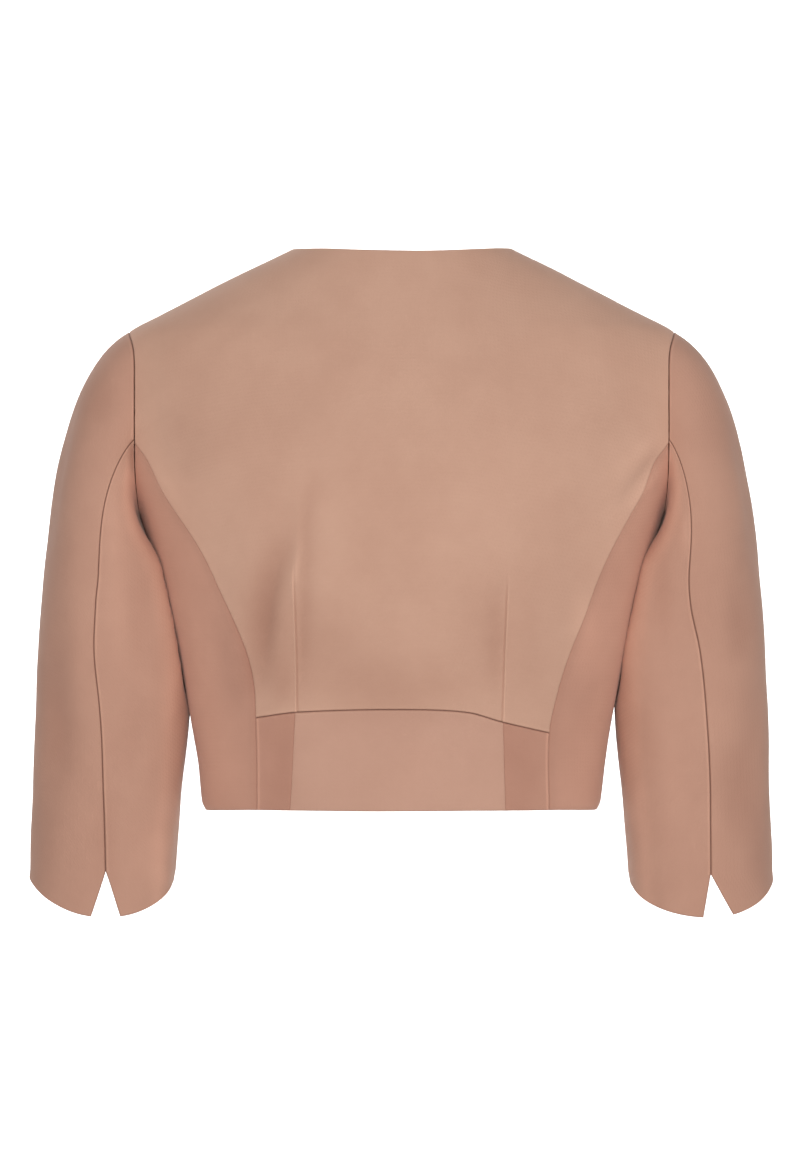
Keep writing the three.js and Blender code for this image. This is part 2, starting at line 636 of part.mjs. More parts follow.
// The whole jacket: bodice panels, then both sleeves.
function boleroJacket() {
  const jacket = new THREE.Group();
  addPanel(jacket, "back_middle", middleBack(), COLOURS.body);
  addPanel(jacket, "back_side_left", sideBack("left"), COLOURS.side);
  addPanel(jacket, "back_side_right", sideBack("right"), COLOURS.side);
  addBand(jacket);
  addPanel(jacket, "front_left", front("left"), COLOURS.body);
  addPanel(jacket, "front_right", front("right"), COLOURS.body);
  for (const side of ["left", "right"]) {
    addPanel(jacket, "upper_sleeve_" + side, sleevePanel(side, "upper"), COLOURS.sleeve);
    addPanel(jacket, "under_sleeve_" + side, sleevePanel(side, "under"), COLOURS.sleeve);
  }
  return jacket;
}

export default boleroJacket();
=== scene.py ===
"""A cropped bolero jacket in dusty rose crepe, filled out as when worn and seen from behind.

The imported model's frame is kept: +Z up, +Y behind the jacket, +X at the wearer's left, and the origin in the middle
of the neck opening. Tables and sizes give millimetres, and MM turns them into Blender's metres.
"""

import logging
import math
from dataclasses import dataclass, field
from enum import Enum
from typing import Callable, NamedTuple, Sequence

import bpy
import numpy as np
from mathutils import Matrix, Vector


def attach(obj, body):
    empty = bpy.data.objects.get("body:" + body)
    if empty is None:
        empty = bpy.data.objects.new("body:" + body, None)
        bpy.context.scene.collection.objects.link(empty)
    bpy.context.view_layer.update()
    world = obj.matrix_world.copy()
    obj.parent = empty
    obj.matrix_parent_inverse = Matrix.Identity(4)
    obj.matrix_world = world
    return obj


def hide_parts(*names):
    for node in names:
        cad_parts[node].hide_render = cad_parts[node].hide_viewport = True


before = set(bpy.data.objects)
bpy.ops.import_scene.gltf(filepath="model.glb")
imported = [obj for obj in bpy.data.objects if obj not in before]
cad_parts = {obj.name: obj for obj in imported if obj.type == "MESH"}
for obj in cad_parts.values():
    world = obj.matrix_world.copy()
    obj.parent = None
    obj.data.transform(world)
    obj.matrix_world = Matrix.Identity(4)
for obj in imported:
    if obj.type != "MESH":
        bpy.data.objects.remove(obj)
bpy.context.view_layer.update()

LOG = logging.getLogger("bolero")
Array = np.ndarray
Line = Callable[[Array], Array]
Surface = Callable[[Array, Array], Array]
MM = 0.001

NECK_HALF = 79.0
NECK_DIP = 3.5
TIP_Z = -60.0
UNDERARM_Z = -190.0
HEM_Z = -401.5
FRONT_NECK_Z = -98.0
FRONT_EDGE_X = 2.0
SEAM_GAP = 0.06
SLEEVE_CLEAR = 0.35
CLEAR_SOFTNESS = 0.5
SLEEVE_SQUARE = 3.0
SIDE_HEM_DROP = 2.0


class Face(Enum):
    """Half of the garment that a place or a fold lies on."""

    BACK = 1
    FRONT = -1


class Look(Enum):
    """Where a fold is seen from: the axis across the view, the axis of its depth, and which way that looks."""

    BACK = (0, 1, 1)
    FRONT = (0, 1, -1)
    LEFT = (1, 0, 1)
    RIGHT = (1, 0, -1)


class Side(Enum):
    """The wearer's side."""

    LEFT = 1
    RIGHT = -1

    @property
    def word(self) -> str:
        """The side's name in lower case."""
        return self.name.lower()


class BodySection(NamedTuple):
    """A level section of the bodice: half width, depths behind and before, and how square each half is."""

    z: float
    half: float
    back: float
    front: float
    back_power: float
    front_power: float


class ArmholeRow(NamedTuple):
    """Distance of the armhole seam from the middle at one height."""

    z: float
    back: float
    front: float


class SeamRow(NamedTuple):
    """Distance of a back seam from the middle at one height, on both sides."""

    z: float
    left: float
    right: float


class EdgeRow(NamedTuple):
    """Height of a cross seam or neckline at one distance from the middle."""

    x: float
    z: float


class SleeveSection(NamedTuple):
    """A level section of the hanging sleeve: its edges, its depths, and how far it presses against the body."""

    z: float
    outer: float
    inner: float
    back: float
    front: float
    press: float


class TurnRow(NamedTuple):
    """Turn of the rear sleeve seam about the arm, at a share of the sleeve's length."""

    along: float
    left: float
    right: float


BODY_SECTIONS = (
    BodySection(0, NECK_HALF, 46, 34, 2.1, 2),
    BodySection(-28, 135, 60.8, 45, 2.1, 2),
    BodySection(-50, 177.5, 72.4, 55.2, 2.15, 2.05),
    BodySection(TIP_Z, 196, 77.6, 60.1, 2.17, 2.07),
    BodySection(-75, 207, 84.7, 67.4, 2.2, 2.1),
    BodySection(-100, 210, 94.9, 79.5, 2.25, 2.15),
    BodySection(-137, 207, 107, 97, 2.3, 2.25),
    BodySection(-165, 199, 112, 107, 2.35, 2.35),
    BodySection(-190, 188.5, 114, 114, 2.35, 2.4),
    BodySection(-230, 176.5, 111, 119, 2.35, 2.45),
    BodySection(-282, 163.5, 102, 115, 2.4, 2.4),
    BodySection(-330, 153, 91, 106, 2.4, 2.3),
    BodySection(-368, 146.3, 87, 101, 2.4, 2.25),
    BodySection(-395, 143.8, 86.4, 99.4, 2.4, 2.25),
    BodySection(-399, 142.9, 86, 99, 2.4, 2.25),
    BodySection(HEM_Z - SIDE_HEM_DROP, 140.6, 85, 98, 2.4, 2.25),
)

ARMHOLE = (
    ArmholeRow(TIP_Z, 196, 196),
    ArmholeRow(-75, 191.3, 189.5),
    ArmholeRow(-100, 190.2, 185),
    ArmholeRow(-137, 190, 181.5),
    ArmholeRow(-165, 189.8, 183.5),
    ArmholeRow(UNDERARM_Z, 188.5, 188.5),
)

PRINCESS = (
    SeamRow(-141, 189.95, 189.95),
    SeamRow(-154, 180, 180.5),
    SeamRow(-181, 166, 168),
    SeamRow(-217, 143, 148.5),
    SeamRow(-245, 129, 136.5),
    SeamRow(-274, 116, 125),
    SeamRow(-296, 108.5, 117),
    SeamRow(-318, 104, 110.5),
    SeamRow(-346, 103, 104.5),
    SeamRow(HEM_Z, 102.6, 104.4),
)
PRINCESS_TOP_Z = PRINCESS[0].z

WAIST_SEAM = (
    EdgeRow(-105, -346.5),
    EdgeRow(-71, -338.5),
    EdgeRow(-46, -331.5),
    EdgeRow(0, -329.5),
    EdgeRow(74, -331.5),
    EdgeRow(103, -335.5),
)

BAND_SEAM = (SeamRow(-330, 75, 71.3), SeamRow(HEM_Z, 79, 73.4))

DART_LINE = (
    SeamRow(-345, 73.9, 71.2),
    SeamRow(-250, 75.6, 74.4),
    SeamRow(-150, 77, 77),
    SeamRow(0, NECK_HALF, NECK_HALF),
)
DART_TOP_Z = {Side.LEFT: -234.0, Side.RIGHT: -243.0}

FRONT_NECK = (
    EdgeRow(FRONT_EDGE_X, FRONT_NECK_Z),
    EdgeRow(28, -88),
    EdgeRow(54, -60),
    EdgeRow(70, -28),
    EdgeRow(NECK_HALF, 0),
)

SLEEVE_SECTIONS = (
    SleeveSection(-230, 257.3, 170, 57, 66, 8),
    SleeveSection(-282, 261.7, 160.5, 50, 65, 9),
    SleeveSection(-339, 264.3, 154.7, 41, 63, 1.1),
    SleeveSection(-397, 266.2, 159.8, 33, 61, 0),
    SleeveSection(-440, 267.4, 164, 29, 60, 0),
    SleeveSection(-482, 268.6, 166, 26, 59, 0),
)

REAR_SEAM = (
    TurnRow(0, -11.8, -11.8),
    TurnRow(0.2, -1, -10),
    TurnRow(0.4, 2, -12),
    TurnRow(0.46, 6.2, -8.5),
    TurnRow(0.54, 9, 1.5),
    TurnRow(0.63, 6.5, 7.6),
    TurnRow(0.73, 2.8, 9.3),
    TurnRow(0.92, -4.8, 5.6),
    TurnRow(1, -5.5, 4.5),
)


def column(rows: Sequence[NamedTuple], name: str, where: Array, along: str = "z") -> Array:
    """Reads one column of a table as a smooth curve.

    Args:
        rows: the table, in any order.
        name: the column that is read.
        where: places along the other column.
        along: the name of that other column.

    Returns:
        The column's value at each place, held at the table's ends.
    """
    ordered = sorted(rows, key=lambda row: getattr(row, along))
    knots = np.array([getattr(row, along) for row in ordered], float)
    values = np.array([getattr(row, name) for row in ordered], float)
    spans = np.diff(knots)
    slopes = np.empty_like(values)
    slopes[1:-1] = (values[2:] - values[:-2]) / (knots[2:] - knots[:-2])
    slopes[0] = (values[1] - values[0]) / spans[0]
    slopes[-1] = (values[-1] - values[-2]) / spans[-1]
    place = np.clip(where, knots[0], knots[-1])
    i = np.clip(np.searchsorted(knots, place, side="right") - 1, 0, len(spans) - 1)
    t = (place - knots[i]) / spans[i]
    s = 1 - t
    ends = values[i] * s * s * (1 + 2 * t) + values[i + 1] * t * t * (3 - 2 * t)
    return ends + spans[i] * t * s * (s * slopes[i] - t * slopes[i + 1])


def smooth(share: Array) -> Array:
    """An even start and finish between 0 and 1, for a share clipped to that range."""
    t = np.clip(share, 0, 1)
    return t * t * (3 - 2 * t)


def mix(a: Array, b: Array, share: Array) -> Array:
    """The value a share of the way from a to b."""
    return a + (b - a) * share


def unit(vectors: Array) -> Array:
    """The vectors at length one."""
    return vectors / np.maximum(np.linalg.norm(vectors, axis=-1, keepdims=True), 1e-12)


def outward_of(surface: Surface, u: Array, v: Array, du: float, dv: float) -> Array:
    """Direction square to a surface, from small steps along it.

    Args:
        surface: points for two parameters.
        u: first parameter.
        v: second parameter.
        du: step of the first one.
        dv: step of the second one, whose sign picks the side.

    Returns:
        Unit vectors.
    """
    along_u = surface(u + du, v) - surface(u - du, v)
    along_v = surface(u, v + dv) - surface(u, v - dv)
    return unit(np.cross(along_u, along_v))


class BodyForm:
    """The form that the bodice keeps: level sections that change smoothly with height."""

    TURN_STEP = 0.5
    HEIGHT_STEP = 0.5

    @staticmethod
    def at(turn: Array, z: Array) -> Array:
        """A point at a turn from the centre back (0) over the side (90) to the centre front (180)."""
        behind = turn <= 90
        half = column(BODY_SECTIONS, "half", z)
        depth = np.where(behind, column(BODY_SECTIONS, "back", z), -column(BODY_SECTIONS, "front", z))
        squareness = np.where(
            behind, column(BODY_SECTIONS, "back_power", z), column(BODY_SECTIONS, "front_power", z)
        )
        angle = np.radians(turn)
        sine, cosine = np.sin(angle), np.abs(np.cos(angle))
        x = half * np.sign(sine) * np.abs(sine) ** (2 / squareness)
        return np.stack([x, depth * cosine ** (2 / squareness), np.broadcast_to(z, x.shape)], -1)

    @staticmethod
    def turn_of(x: Array, z: Array, face: Face) -> Array:
        """The turn at which the form is a given distance out from the middle."""
        name = "back_power" if face is Face.BACK else "front_power"
        reach = np.clip(np.abs(x) / column(BODY_SECTIONS, "half", z), 0, 1)
        turn = np.degrees(np.arcsin(reach ** (column(BODY_SECTIONS, name, z) / 2)))
        return turn if face is Face.BACK else 180 - turn

    @classmethod
    def points(cls, x: Array, z: Array, face: Face) -> Array:
        """Points of the form at places seen from behind or from the front."""
        turn = np.clip(cls.turn_of(x, z, face), 0.01, 179.99)
        made = cls.at(turn, z)
        made[..., 0] *= np.where(x < 0, -1, 1)
        least = SEAM_GAP / 2
        made[..., 1] = np.where(
            np.abs(made[..., 1]) < least, least * face.value, made[..., 1]
        )
        return made

    @classmethod
    def outward(cls, x: Array, z: Array, face: Face) -> Array:
        """Outward directions of the form at the same places."""
        turn = np.clip(cls.turn_of(x, z, face), 0.01, 179.4)
        out = outward_of(cls.at, turn, np.minimum(z, -0.6), cls.TURN_STEP, -cls.HEIGHT_STEP)
        out[..., 0] *= np.where(x < 0, -1, 1)
        return out

    @staticmethod
    def side_x(z: Array, face: Face) -> Array:
        """Outer edge of the bodice: the armhole down to the underarm, then the side seam."""
        name = "back" if face is Face.BACK else "front"
        return np.where(z <= UNDERARM_Z, column(BODY_SECTIONS, "half", z), column(ARMHOLE, name, z))

    @staticmethod
    def shoulder_z(x: Array) -> Array:
        """Height of the shoulder line at a distance from the middle."""
        heights = np.linspace(0, TIP_Z, 400)
        return np.interp(np.abs(x), column(BODY_SECTIONS, "half", heights), heights)

    @staticmethod
    def armhole_z(turn: Array) -> Array:
        """Height on the armhole at a turn about the arm: 90 is the shoulder tip and -90 the underarm."""
        return mix(TIP_Z, UNDERARM_Z, (1 - np.sin(np.radians(turn))) / 2)


@dataclass(frozen=True)
class Fold:
    """A soft trough or ridge that the cloth keeps, drawn as seen from one side.

    Attributes:
        look: where it is seen from.
        path: its line, as distances across that view and heights.
        outer: half width of its slope away from the middle.
        inner: half width of its slope towards the middle.
        deep: height at its strongest place, negative for a trough.
        tone: painted light and shade there: negative values paint shade, positive ones paint light.
        peak: share of its length at which it is strongest.
    """

    look: Look
    path: tuple[tuple[float, float], ...]
    outer: float
    inner: float
    deep: float
    tone: float = 0.0
    peak: float = 0.5

    def strength(self, points: Array, outward: Array) -> Array:
        """How strongly the fold shows at points of the cloth.

        Args:
            points: points in millimetres.
            outward: the cloth's outward directions there.

        Returns:
            Values from 0 to 1.
        """
        across, depth, towards = self.look.value
        path = np.array(self.path, float)
        lengths = np.linalg.norm(np.diff(path, axis=0), axis=1)
        total = lengths.sum()
        nearest = np.full(points.shape[:-1], 1e9)
        share = np.zeros_like(nearest)
        side = np.zeros_like(nearest)
        run = 0.0
        for start, end, length in zip(path[:-1], path[1:], lengths):
            ahead = (end - start) / length
            offset = points[..., (across, 2)] - start
            t = np.clip(offset @ ahead, 0, length)
            beside = offset - t[..., None] * ahead
            away = np.linalg.norm(beside, axis=-1)
            closer = away < nearest
            nearest = np.where(closer, away, nearest)
            share = np.where(closer, (run + t) / total, share)
            side = np.where(closer, beside[..., 0] * np.sign(start[0]), side)
            run += length
        wide = mix(self.inner, self.outer, smooth(side / 2 + 0.5))
        bias = math.log(0.5) / math.log(self.peak)
        along = np.sin(np.pi * np.clip(share, 0, 1) ** bias)
        seen = smooth(outward[..., depth] * towards / 0.4)
        return along * np.exp(-((nearest / wide) ** 2)) * seen


def folds(look: Look, *rows: tuple) -> tuple[Fold, ...]:
    """Folds seen from one side, from rows of path, outer, inner, deep, painted light and shade, and peak."""
    return tuple(Fold(look, *row) for row in rows)


# The fifth value of each row is painted light and shade: negative paints shade along the fold, positive paints light.
BODY_FOLDS = folds(
    Look.BACK,
    (((71, -184), (81, -210), (89, -231), (95, -252), (98, -280), (101, -302), (104, -326)), 14, 8.5, -4.2, -0.34, 0.52),
    (((63, -158), (67, -182), (68.6, -210), (69.3, -238), (70.5, -280), (71, -326)), 3.4, 7, -1.6, -0.16, 0.45),
    (((70, -204), (73, -222), (75.8, -237), (76.6, -256)), 2.8, 2.8, 0.7, 0.11, 0.6),
    (((61, -236), (56, -290), (54, -326)), 30, 32, -1.6, -0.15, 0.6),
    (((96, -214), (94, -270), (92, -336)), 24, 24, -0.3, -0.16, 0.6),
    (((-80, -214), (-84, -270), (-86, -334)), 30, 30, -0.3, -0.08, 0.6),
    (((141, -50), (146, -110), (148, -170)), 30, 34, -1.2, -0.1, 0.5),
    (((86, -280), (84, -308), (82, -330)), 9, 9, 0.5, -0.16, 0.7),
    (((-48, -205), (-58, -262), (-62, -322)), 18, 22, -1.6, -0.08, 0.55),
    (((-67, -238), (-67, -280), (-66, -328)), 5, 8, -1.4, -0.12, 0.5),
    (((-86, -232), (-88, -280), (-84, -322)), 9, 9, 1.0, -0.06, 0.5),
    (((-130, -246), (-134, -284), (-130, -322)), 12, 11, 1.2, 0.12, 0.45),
    (((-186, -146), (-172, -160), (-150, -188)), 4.5, 4.5, -1.5, -0.12, 0.35),
    (((-188, -154), (-176, -170), (-160, -190)), 3.5, 3.5, 1.2, 0.06, 0.4),
    (((-185, -132), (-168, -148), (-148, -166)), 5, 5, 0.9, 0.04, 0.4),
    (((184, -150), (170, -168), (150, -200)), 6, 6, 1.0, 0.03, 0.4),
    (((178, -110), (160, -140), (150, -170)), 14, 14, -1.6, -0.06, 0.5),
    (((120, -70), (90, -110), (80, -160)), 26, 26, -1.0, -0.03, 0.5),
    (((-95, -60), (-60, -110), (-40, -180)), 34, 34, 1.0, 0.0, 0.5),
    (((140, -250), (128, -290), (118, -345)), 9, 9, -1.3, -0.05, 0.5),
    (((-150, -262), (-140, -300), (-128, -352)), 10, 10, -1.0, -0.05, 0.5),
    (((-56, -306), (0, -312), (56, -312)), 22, 22, -0.6, -0.19, 0.6),
    (((-78, -352), (-92, -374), (-98, -398)), 9, 9, -0.5, -0.06, 0.5),
    (((88, -350), (84, -374), (82, -398)), 7, 7, -0.5, -0.06, 0.5),
    (((-30, -350), (-6, -370), (14, -394)), 16, 16, 0.5, 0.03, 0.5),
) + folds(
    Look.FRONT,
    (((150, -120), (118, -160), (88, -200)), 14, 14, -2.6, -0.1, 0.5),
    (((-146, -126), (-120, -164), (-96, -196)), 12, 12, -2.4, -0.09, 0.5),
    (((172, -176), (148, -204), (112, -226)), 7, 7, 1.8, 0.04, 0.35),
    (((-170, -182), (-144, -206), (-118, -232)), 7, 7, 1.7, 0.04, 0.4),
    (((96, -236), (92, -300), (88, -372)), 12, 9, -3.0, -0.14, 0.45),
    (((-92, -242), (-90, -306), (-84, -366)), 12, 10, -2.8, -0.12, 0.5),
    (((60, -250), (54, -310), (52, -380)), 13, 13, 1.7, 0.03, 0.5),
    (((-56, -262), (-52, -316), (-50, -376)), 12, 12, 1.6, 0.03, 0.5),
    (((30, -130), (44, -190), (58, -240)), 13, 13, -1.3, -0.05, 0.5),
    (((-26, -150), (-38, -205), (-46, -250)), 12, 12, -1.2, -0.05, 0.5),
)

# The fifth value of each row is painted light and shade: negative paints shade along the fold, positive paints light.
SLEEVE_FOLDS = folds(
    Look.BACK,
    (((191.5, -138), (191.5, -150), (190.5, -164)), 2.4, 2.4, -0.9, -0.6, 0.4),
    (((204, -96), (214, -112), (222, -130)), 11, 11, -1.8, -0.1, 0.5),
    (((202, -146), (205, -200), (203, -262), (200, -324)), 9, 9, 1.4, 0.07, 0.45),
    (((242, -238), (246, -310), (245, -395)), 13, 11, -2.0, -0.14, 0.5),
    (((262, -330), (262, -400), (262, -470)), 12, 14, -1.0, -0.1, 0.5),
    (((232, -200), (236, -262), (230, -320)), 12, 12, 1.2, 0.0, 0.5),
    (((184, -224), (184, -262), (186, -309)), 8, 8, -1.1, -0.07, 0.5),
    (((182, -316), (190, -346), (198, -384)), 9, 9, -1.3, -0.05, 0.5),
    (((178, -392), (176, -424), (175, -462)), 12, 12, 1.0, 0.09, 0.6),
    (((211, -384), (212, -430), (214, -466)), 9, 9, -1.0, -0.1, 0.5),
    (((250, -140), (256, -170), (258, -205)), 8, 8, 0.8, 0.06, 0.5),
    (((-182, -214), (-183, -250), (-186, -290)), 8, 8, -1.4, -0.09, 0.5),
    (((-200, -188), (-201, -206), (-203, -224)), 4, 4, 1.0, 0.1, 0.5),
    (((-242, -150), (-245, -180), (-246, -206)), 9, 10, 1.1, 0.08, 0.5),
    (((-240, -236), (-242, -268), (-244, -300)), 12, 11, -2.0, -0.13, 0.5),
    (((-238, -352), (-242, -392), (-244, -432)), 13, 12, -1.7, -0.14, 0.5),
    (((-262, -380), (-262, -420), (-262, -470)), 12, 14, -1.0, -0.14, 0.6),
    (((-184, -330), (-192, -372), (-196, -420)), 12, 12, 1.0, 0.03, 0.5),
    (((-206, -100), (-220, -120), (-226, -150)), 12, 12, -1.3, -0.05, 0.5),
) + folds(
    Look.FRONT,
    (((196, -150), (214, -200), (220, -250)), 10, 10, -2.8, -0.1, 0.4),
    (((236, -190), (232, -250), (222, -300)), 12, 12, 1.9, 0.05, 0.5),
    (((180, -292), (204, -310), (236, -316)), 8, 8, -2.6, -0.12, 0.45),
    (((176, -318), (200, -338), (228, -346)), 8, 8, 2.0, 0.05, 0.5),
    (((182, -352), (208, -366), (240, -368)), 7, 7, -1.8, -0.08, 0.5),
    (((-198, -156), (-212, -204), (-222, -246)), 10, 10, -2.7, -0.1, 0.4),
    (((-234, -200), (-230, -256), (-220, -306)), 12, 12, 1.8, 0.05, 0.5),
    (((-178, -298), (-206, -314), (-238, -322)), 8, 8, -2.5, -0.12, 0.5),
    (((-178, -326), (-202, -342), (-232, -352)), 8, 8, 1.9, 0.05, 0.45),
) + folds(
    Look.LEFT,
    (((18, -104), (26, -160), (20, -226)), 13, 13, -2.0, -0.08, 0.5),
    (((-36, -130), (-26, -196), (-30, -256)), 12, 12, 1.7, 0.05, 0.5),
    (((-66, -296), (-46, -309), (-27, -314)), 8, 8, -2.4, -0.12, 0.4),
    (((-66, -322), (-48, -333), (-30, -337)), 8, 8, 1.9, 0.05, 0.4),
    (((-64, -350), (-46, -359), (-30, -361)), 7, 7, -1.6, -0.08, 0.4),
    (((22, -286), (28, -348), (14, -424)), 11, 11, -1.8, -0.08, 0.5),
    (((-20, -384), (-14, -430), (-18, -472)), 11, 11, 1.3, 0.04, 0.5),
) + folds(
    Look.RIGHT,
    (((24, -112), (30, -176), (22, -240)), 12, 12, -1.9, -0.08, 0.5),
    (((-30, -120), (-22, -180), (-28, -246)), 13, 13, 1.6, 0.05, 0.5),
    (((-66, -304), (-46, -316), (-27, -320)), 8, 8, -2.3, -0.12, 0.4),
    (((-66, -330), (-48, -341), (-30, -345)), 8, 8, 1.8, 0.05, 0.4),
    (((-64, -362), (-46, -370), (-32, -372)), 7, 7, -1.4, -0.07, 0.4),
    (((18, -300), (24, -360), (12, -430)), 11, 11, -1.7, -0.08, 0.5),
    (((-26, -396), (-20, -438), (-22, -474)), 11, 11, 1.2, 0.04, 0.5),
)


class Wave(NamedTuple):
    """A long shallow wave of the cloth: its direction, length and height, and where it starts."""

    across: float
    up: float
    deep: float
    length: float
    high: float
    start: float


SOFT_WAVES = (
    Wave(0.9, 0.3, 0.2, 118, 0.3, 0.4),
    Wave(-0.6, 0.7, 0.4, 83, 0.22, 1.9),
    Wave(0.3, -0.9, 0.3, 61, 0.14, 3.1),
    Wave(0.8, 0.5, -0.5, 37, 0.07, 5.0),
    Wave(-0.4, -0.8, 0.6, 26, 0.045, 2.2),
)


def soft_waves(points: Array) -> Array:
    """Height of the cloth's slight unevenness at points in millimetres."""
    height = np.zeros(points.shape[:-1])
    for wave in SOFT_WAVES:
        ahead = unit(np.array([wave.across, wave.deep, wave.up]))
        height += wave.high * np.sin(points @ ahead * (2 * np.pi / wave.length) + wave.start)
    return height


@dataclass(frozen=True)
class EdgeForm:
    """How a panel ends at one of its edges, in millimetres.

    Attributes:
        roll: distance over which the outer side rounds down.
        drop: how far it falls at the edge.
        line: strength of the painted shade along the seam's groove or the free edge, from 0 to 1.
        lip: height of the pressed ridge beside it.
        pale: strength of the painted highlight on that ridge.
        shade: painted shade beside the edge when negative, fading over shade_wide.
        shade_wide: width of that shade.
        allowance: width of the cloth turned in behind.
        turned: whether the edge is free, so that its inner side rounds too.
        pucker: height of the small gathers that the stitches pull.
        line_wide: width over which the painted shade along the edge fades.
    """

    roll: float
    drop: float
    line: float
    lip: float = 0.0
    pale: float = 0.0
    shade: float = 0.0
    shade_wide: float = 4.0
    allowance: float = 12.0
    turned: bool = False
    pucker: float = 0.03
    line_wide: float = 0.6


# Edge forms: line paints shade along the seam's groove or the free edge, pale paints a highlight on the pressed
# ridge, and shade paints shade beside the seam; BAND_UNDER's wide shade darkens most of the narrow side band pieces.
SEAM = EdgeForm(1.0, 0.8, 0.7, lip=0.12, pale=0.06, pucker=0.05)
SHOULDER = EdgeForm(1.0, 0.7, 0.7)
SIDE_SEAM = EdgeForm(1.4, 0.6, 0.6)
ARMSEAM = EdgeForm(1.0, 0.75, 0.65, lip=0.1, pucker=0.14, allowance=11)
CAP_SEAM = EdgeForm(1.0, 0.75, 0.65, lip=0.2, pale=0.1, pucker=0.12, allowance=11)
REAR_OVER = EdgeForm(1.2, 0.8, 0.75)
REAR_UNDER = EdgeForm(1.0, 0.8, 0.75, lip=0.22, pale=0.16)
CURVE_OVER = EdgeForm(2.2, 0.35, 0.2)
CURVE_UNDER = EdgeForm(5.0, 0.9, 0.2, shade=-0.13, shade_wide=4.5)
BAND_OVER = EdgeForm(1.4, 0.25, 0.0, shade=-0.02)
BAND_UNDER = EdgeForm(2.2, 0.4, 0.1, shade=-0.14, shade_wide=24.0)
BAND_PAINTED_HIGHLIGHT = EdgeForm(1.2, 0.35, 0.0, lip=0.2, pale=0.22)
TURNED = EdgeForm(1.1, 0.9, 0.45, allowance=22, turned=True)


@dataclass(frozen=True)
class EdgeRun:
    """The form of one whole edge, which may change once along it.

    Attributes:
        first: the form up to the change.
        second: the form after it.
        change: the parameter at which it changes.
    """

    first: EdgeForm
    second: EdgeForm | None = None
    change: float = 0.0

    def values(self, name: str, places: Array) -> Array:
        """One size of the edge at parameters along it."""
        later = self.second or self.first
        return np.where(
            places > self.change, float(getattr(later, name)), float(getattr(self.first, name))
        )


@dataclass(frozen=True)
class Edges:
    """The four edges of a panel, in the order of its parameters."""

    start: EdgeRun
    end: EdgeRun
    bottom: EdgeRun
    top: EdgeRun


class Cut(NamedTuple):
    """A panel's pattern piece laid flat: width, length and area, in metres."""

    width: float
    length: float
    area: float


@dataclass
class Grid:
    """A panel's points and outward directions, with its parameters, in millimetres."""

    points: Array
    outward: Array
    u: Array
    v: Array

    def reach(self) -> tuple[Array, Array, Array, Array]:
        """Distances along the cloth from the start, end, bottom and top edges."""
        across = np.linalg.norm(np.diff(self.points, axis=1), axis=-1)
        up = np.linalg.norm(np.diff(self.points, axis=0), axis=-1)
        start = np.pad(np.cumsum(across, axis=1), ((0, 0), (1, 0)))
        bottom = np.pad(np.cumsum(up, axis=0), ((1, 0), (0, 0)))
        return start, start[:, -1:] - start, bottom, bottom[-1:, :] - bottom


FINE_STEPS = np.array([0, 0.12, 0.35, 0.7, 1.1, 1.6, 2.2, 3.0, 4.2, 6.0, 8.5])
PITCH = 3.0
DENSE = 121

# Painted light on cloth that turns sideways towards the arm or the body, lightening the shade there.
FLANK_PAINTED_LIGHT = 0.22
FLANK_LIGHT_FROM = 0.35
BODY_FLANK_LIGHT_WIDE = 0.5
SLEEVE_FLANK_LIGHT_WIDE = 0.4

LIP_PLACE = 1.3
LIP_WIDE = 0.8
PUCKER_AHEAD = (0.9, 0.35, 0.8)
PUCKER_FINE = 0.93
PUCKER_WIDE = 0.41
PUCKER_START = 1.3
PUCKER_FADE = 3.5
ALLOWANCE_FADE = 1.5
FREE_EDGE_DROP = 0.9


def stations(length: float) -> Array:
    """Shares from 0 to 1 along a run of cloth, fine beside both ends and even between."""
    fine = FINE_STEPS[FINE_STEPS < length / 3]
    between = max(round((length - 2 * fine[-1]) / PITCH), 1)
    middle = np.linspace(fine[-1], length - fine[-1], between + 1)
    return np.concatenate([fine[:-1], middle, length - fine[:-1][::-1]]) / length


def even_block(surface: Surface, u_ends: tuple, v_ends: tuple, sizes: tuple) -> tuple:
    """Parameters that cut one block of a surface into steps of even length on the cloth.

    Args:
        surface: points for two parameters.
        u_ends: first and last u of the block.
        v_ends: first and last v of the block.
        sizes: length of the block along u and along v, in millimetres.

    Returns:
        The u and v of each grid point.
    """
    u_line = np.linspace(*u_ends, DENSE)
    v_line = np.linspace(*v_ends, DENSE)
    points = surface(*np.meshgrid(u_line, v_line))
    across = np.pad(np.cumsum(np.linalg.norm(np.diff(points, axis=1), axis=-1), 1), ((0, 0), (1, 0)))
    up = np.pad(np.cumsum(np.linalg.norm(np.diff(points, axis=0), axis=-1), 0), ((1, 0), (0, 0)))
    u_shares, v_shares = stations(sizes[0]), stations(sizes[1])
    u_at = np.array([np.interp(u_shares * row[-1], row, u_line) for row in across])
    v_at = np.array([np.interp(v_shares * line[-1], line, v_line) for line in up.T])
    guess = mix(u_ends[0], u_ends[1], u_shares)
    order = np.argsort(u_line)
    v = np.array([np.interp(guess, u_line[order], v_at[order, j]) for j in range(len(v_shares))])
    rising = np.argsort(v_line)
    u = np.array([np.interp(v[:, i], v_line[rising], u_at[rising, i]) for i in range(len(u_shares))]).T
    return u, v


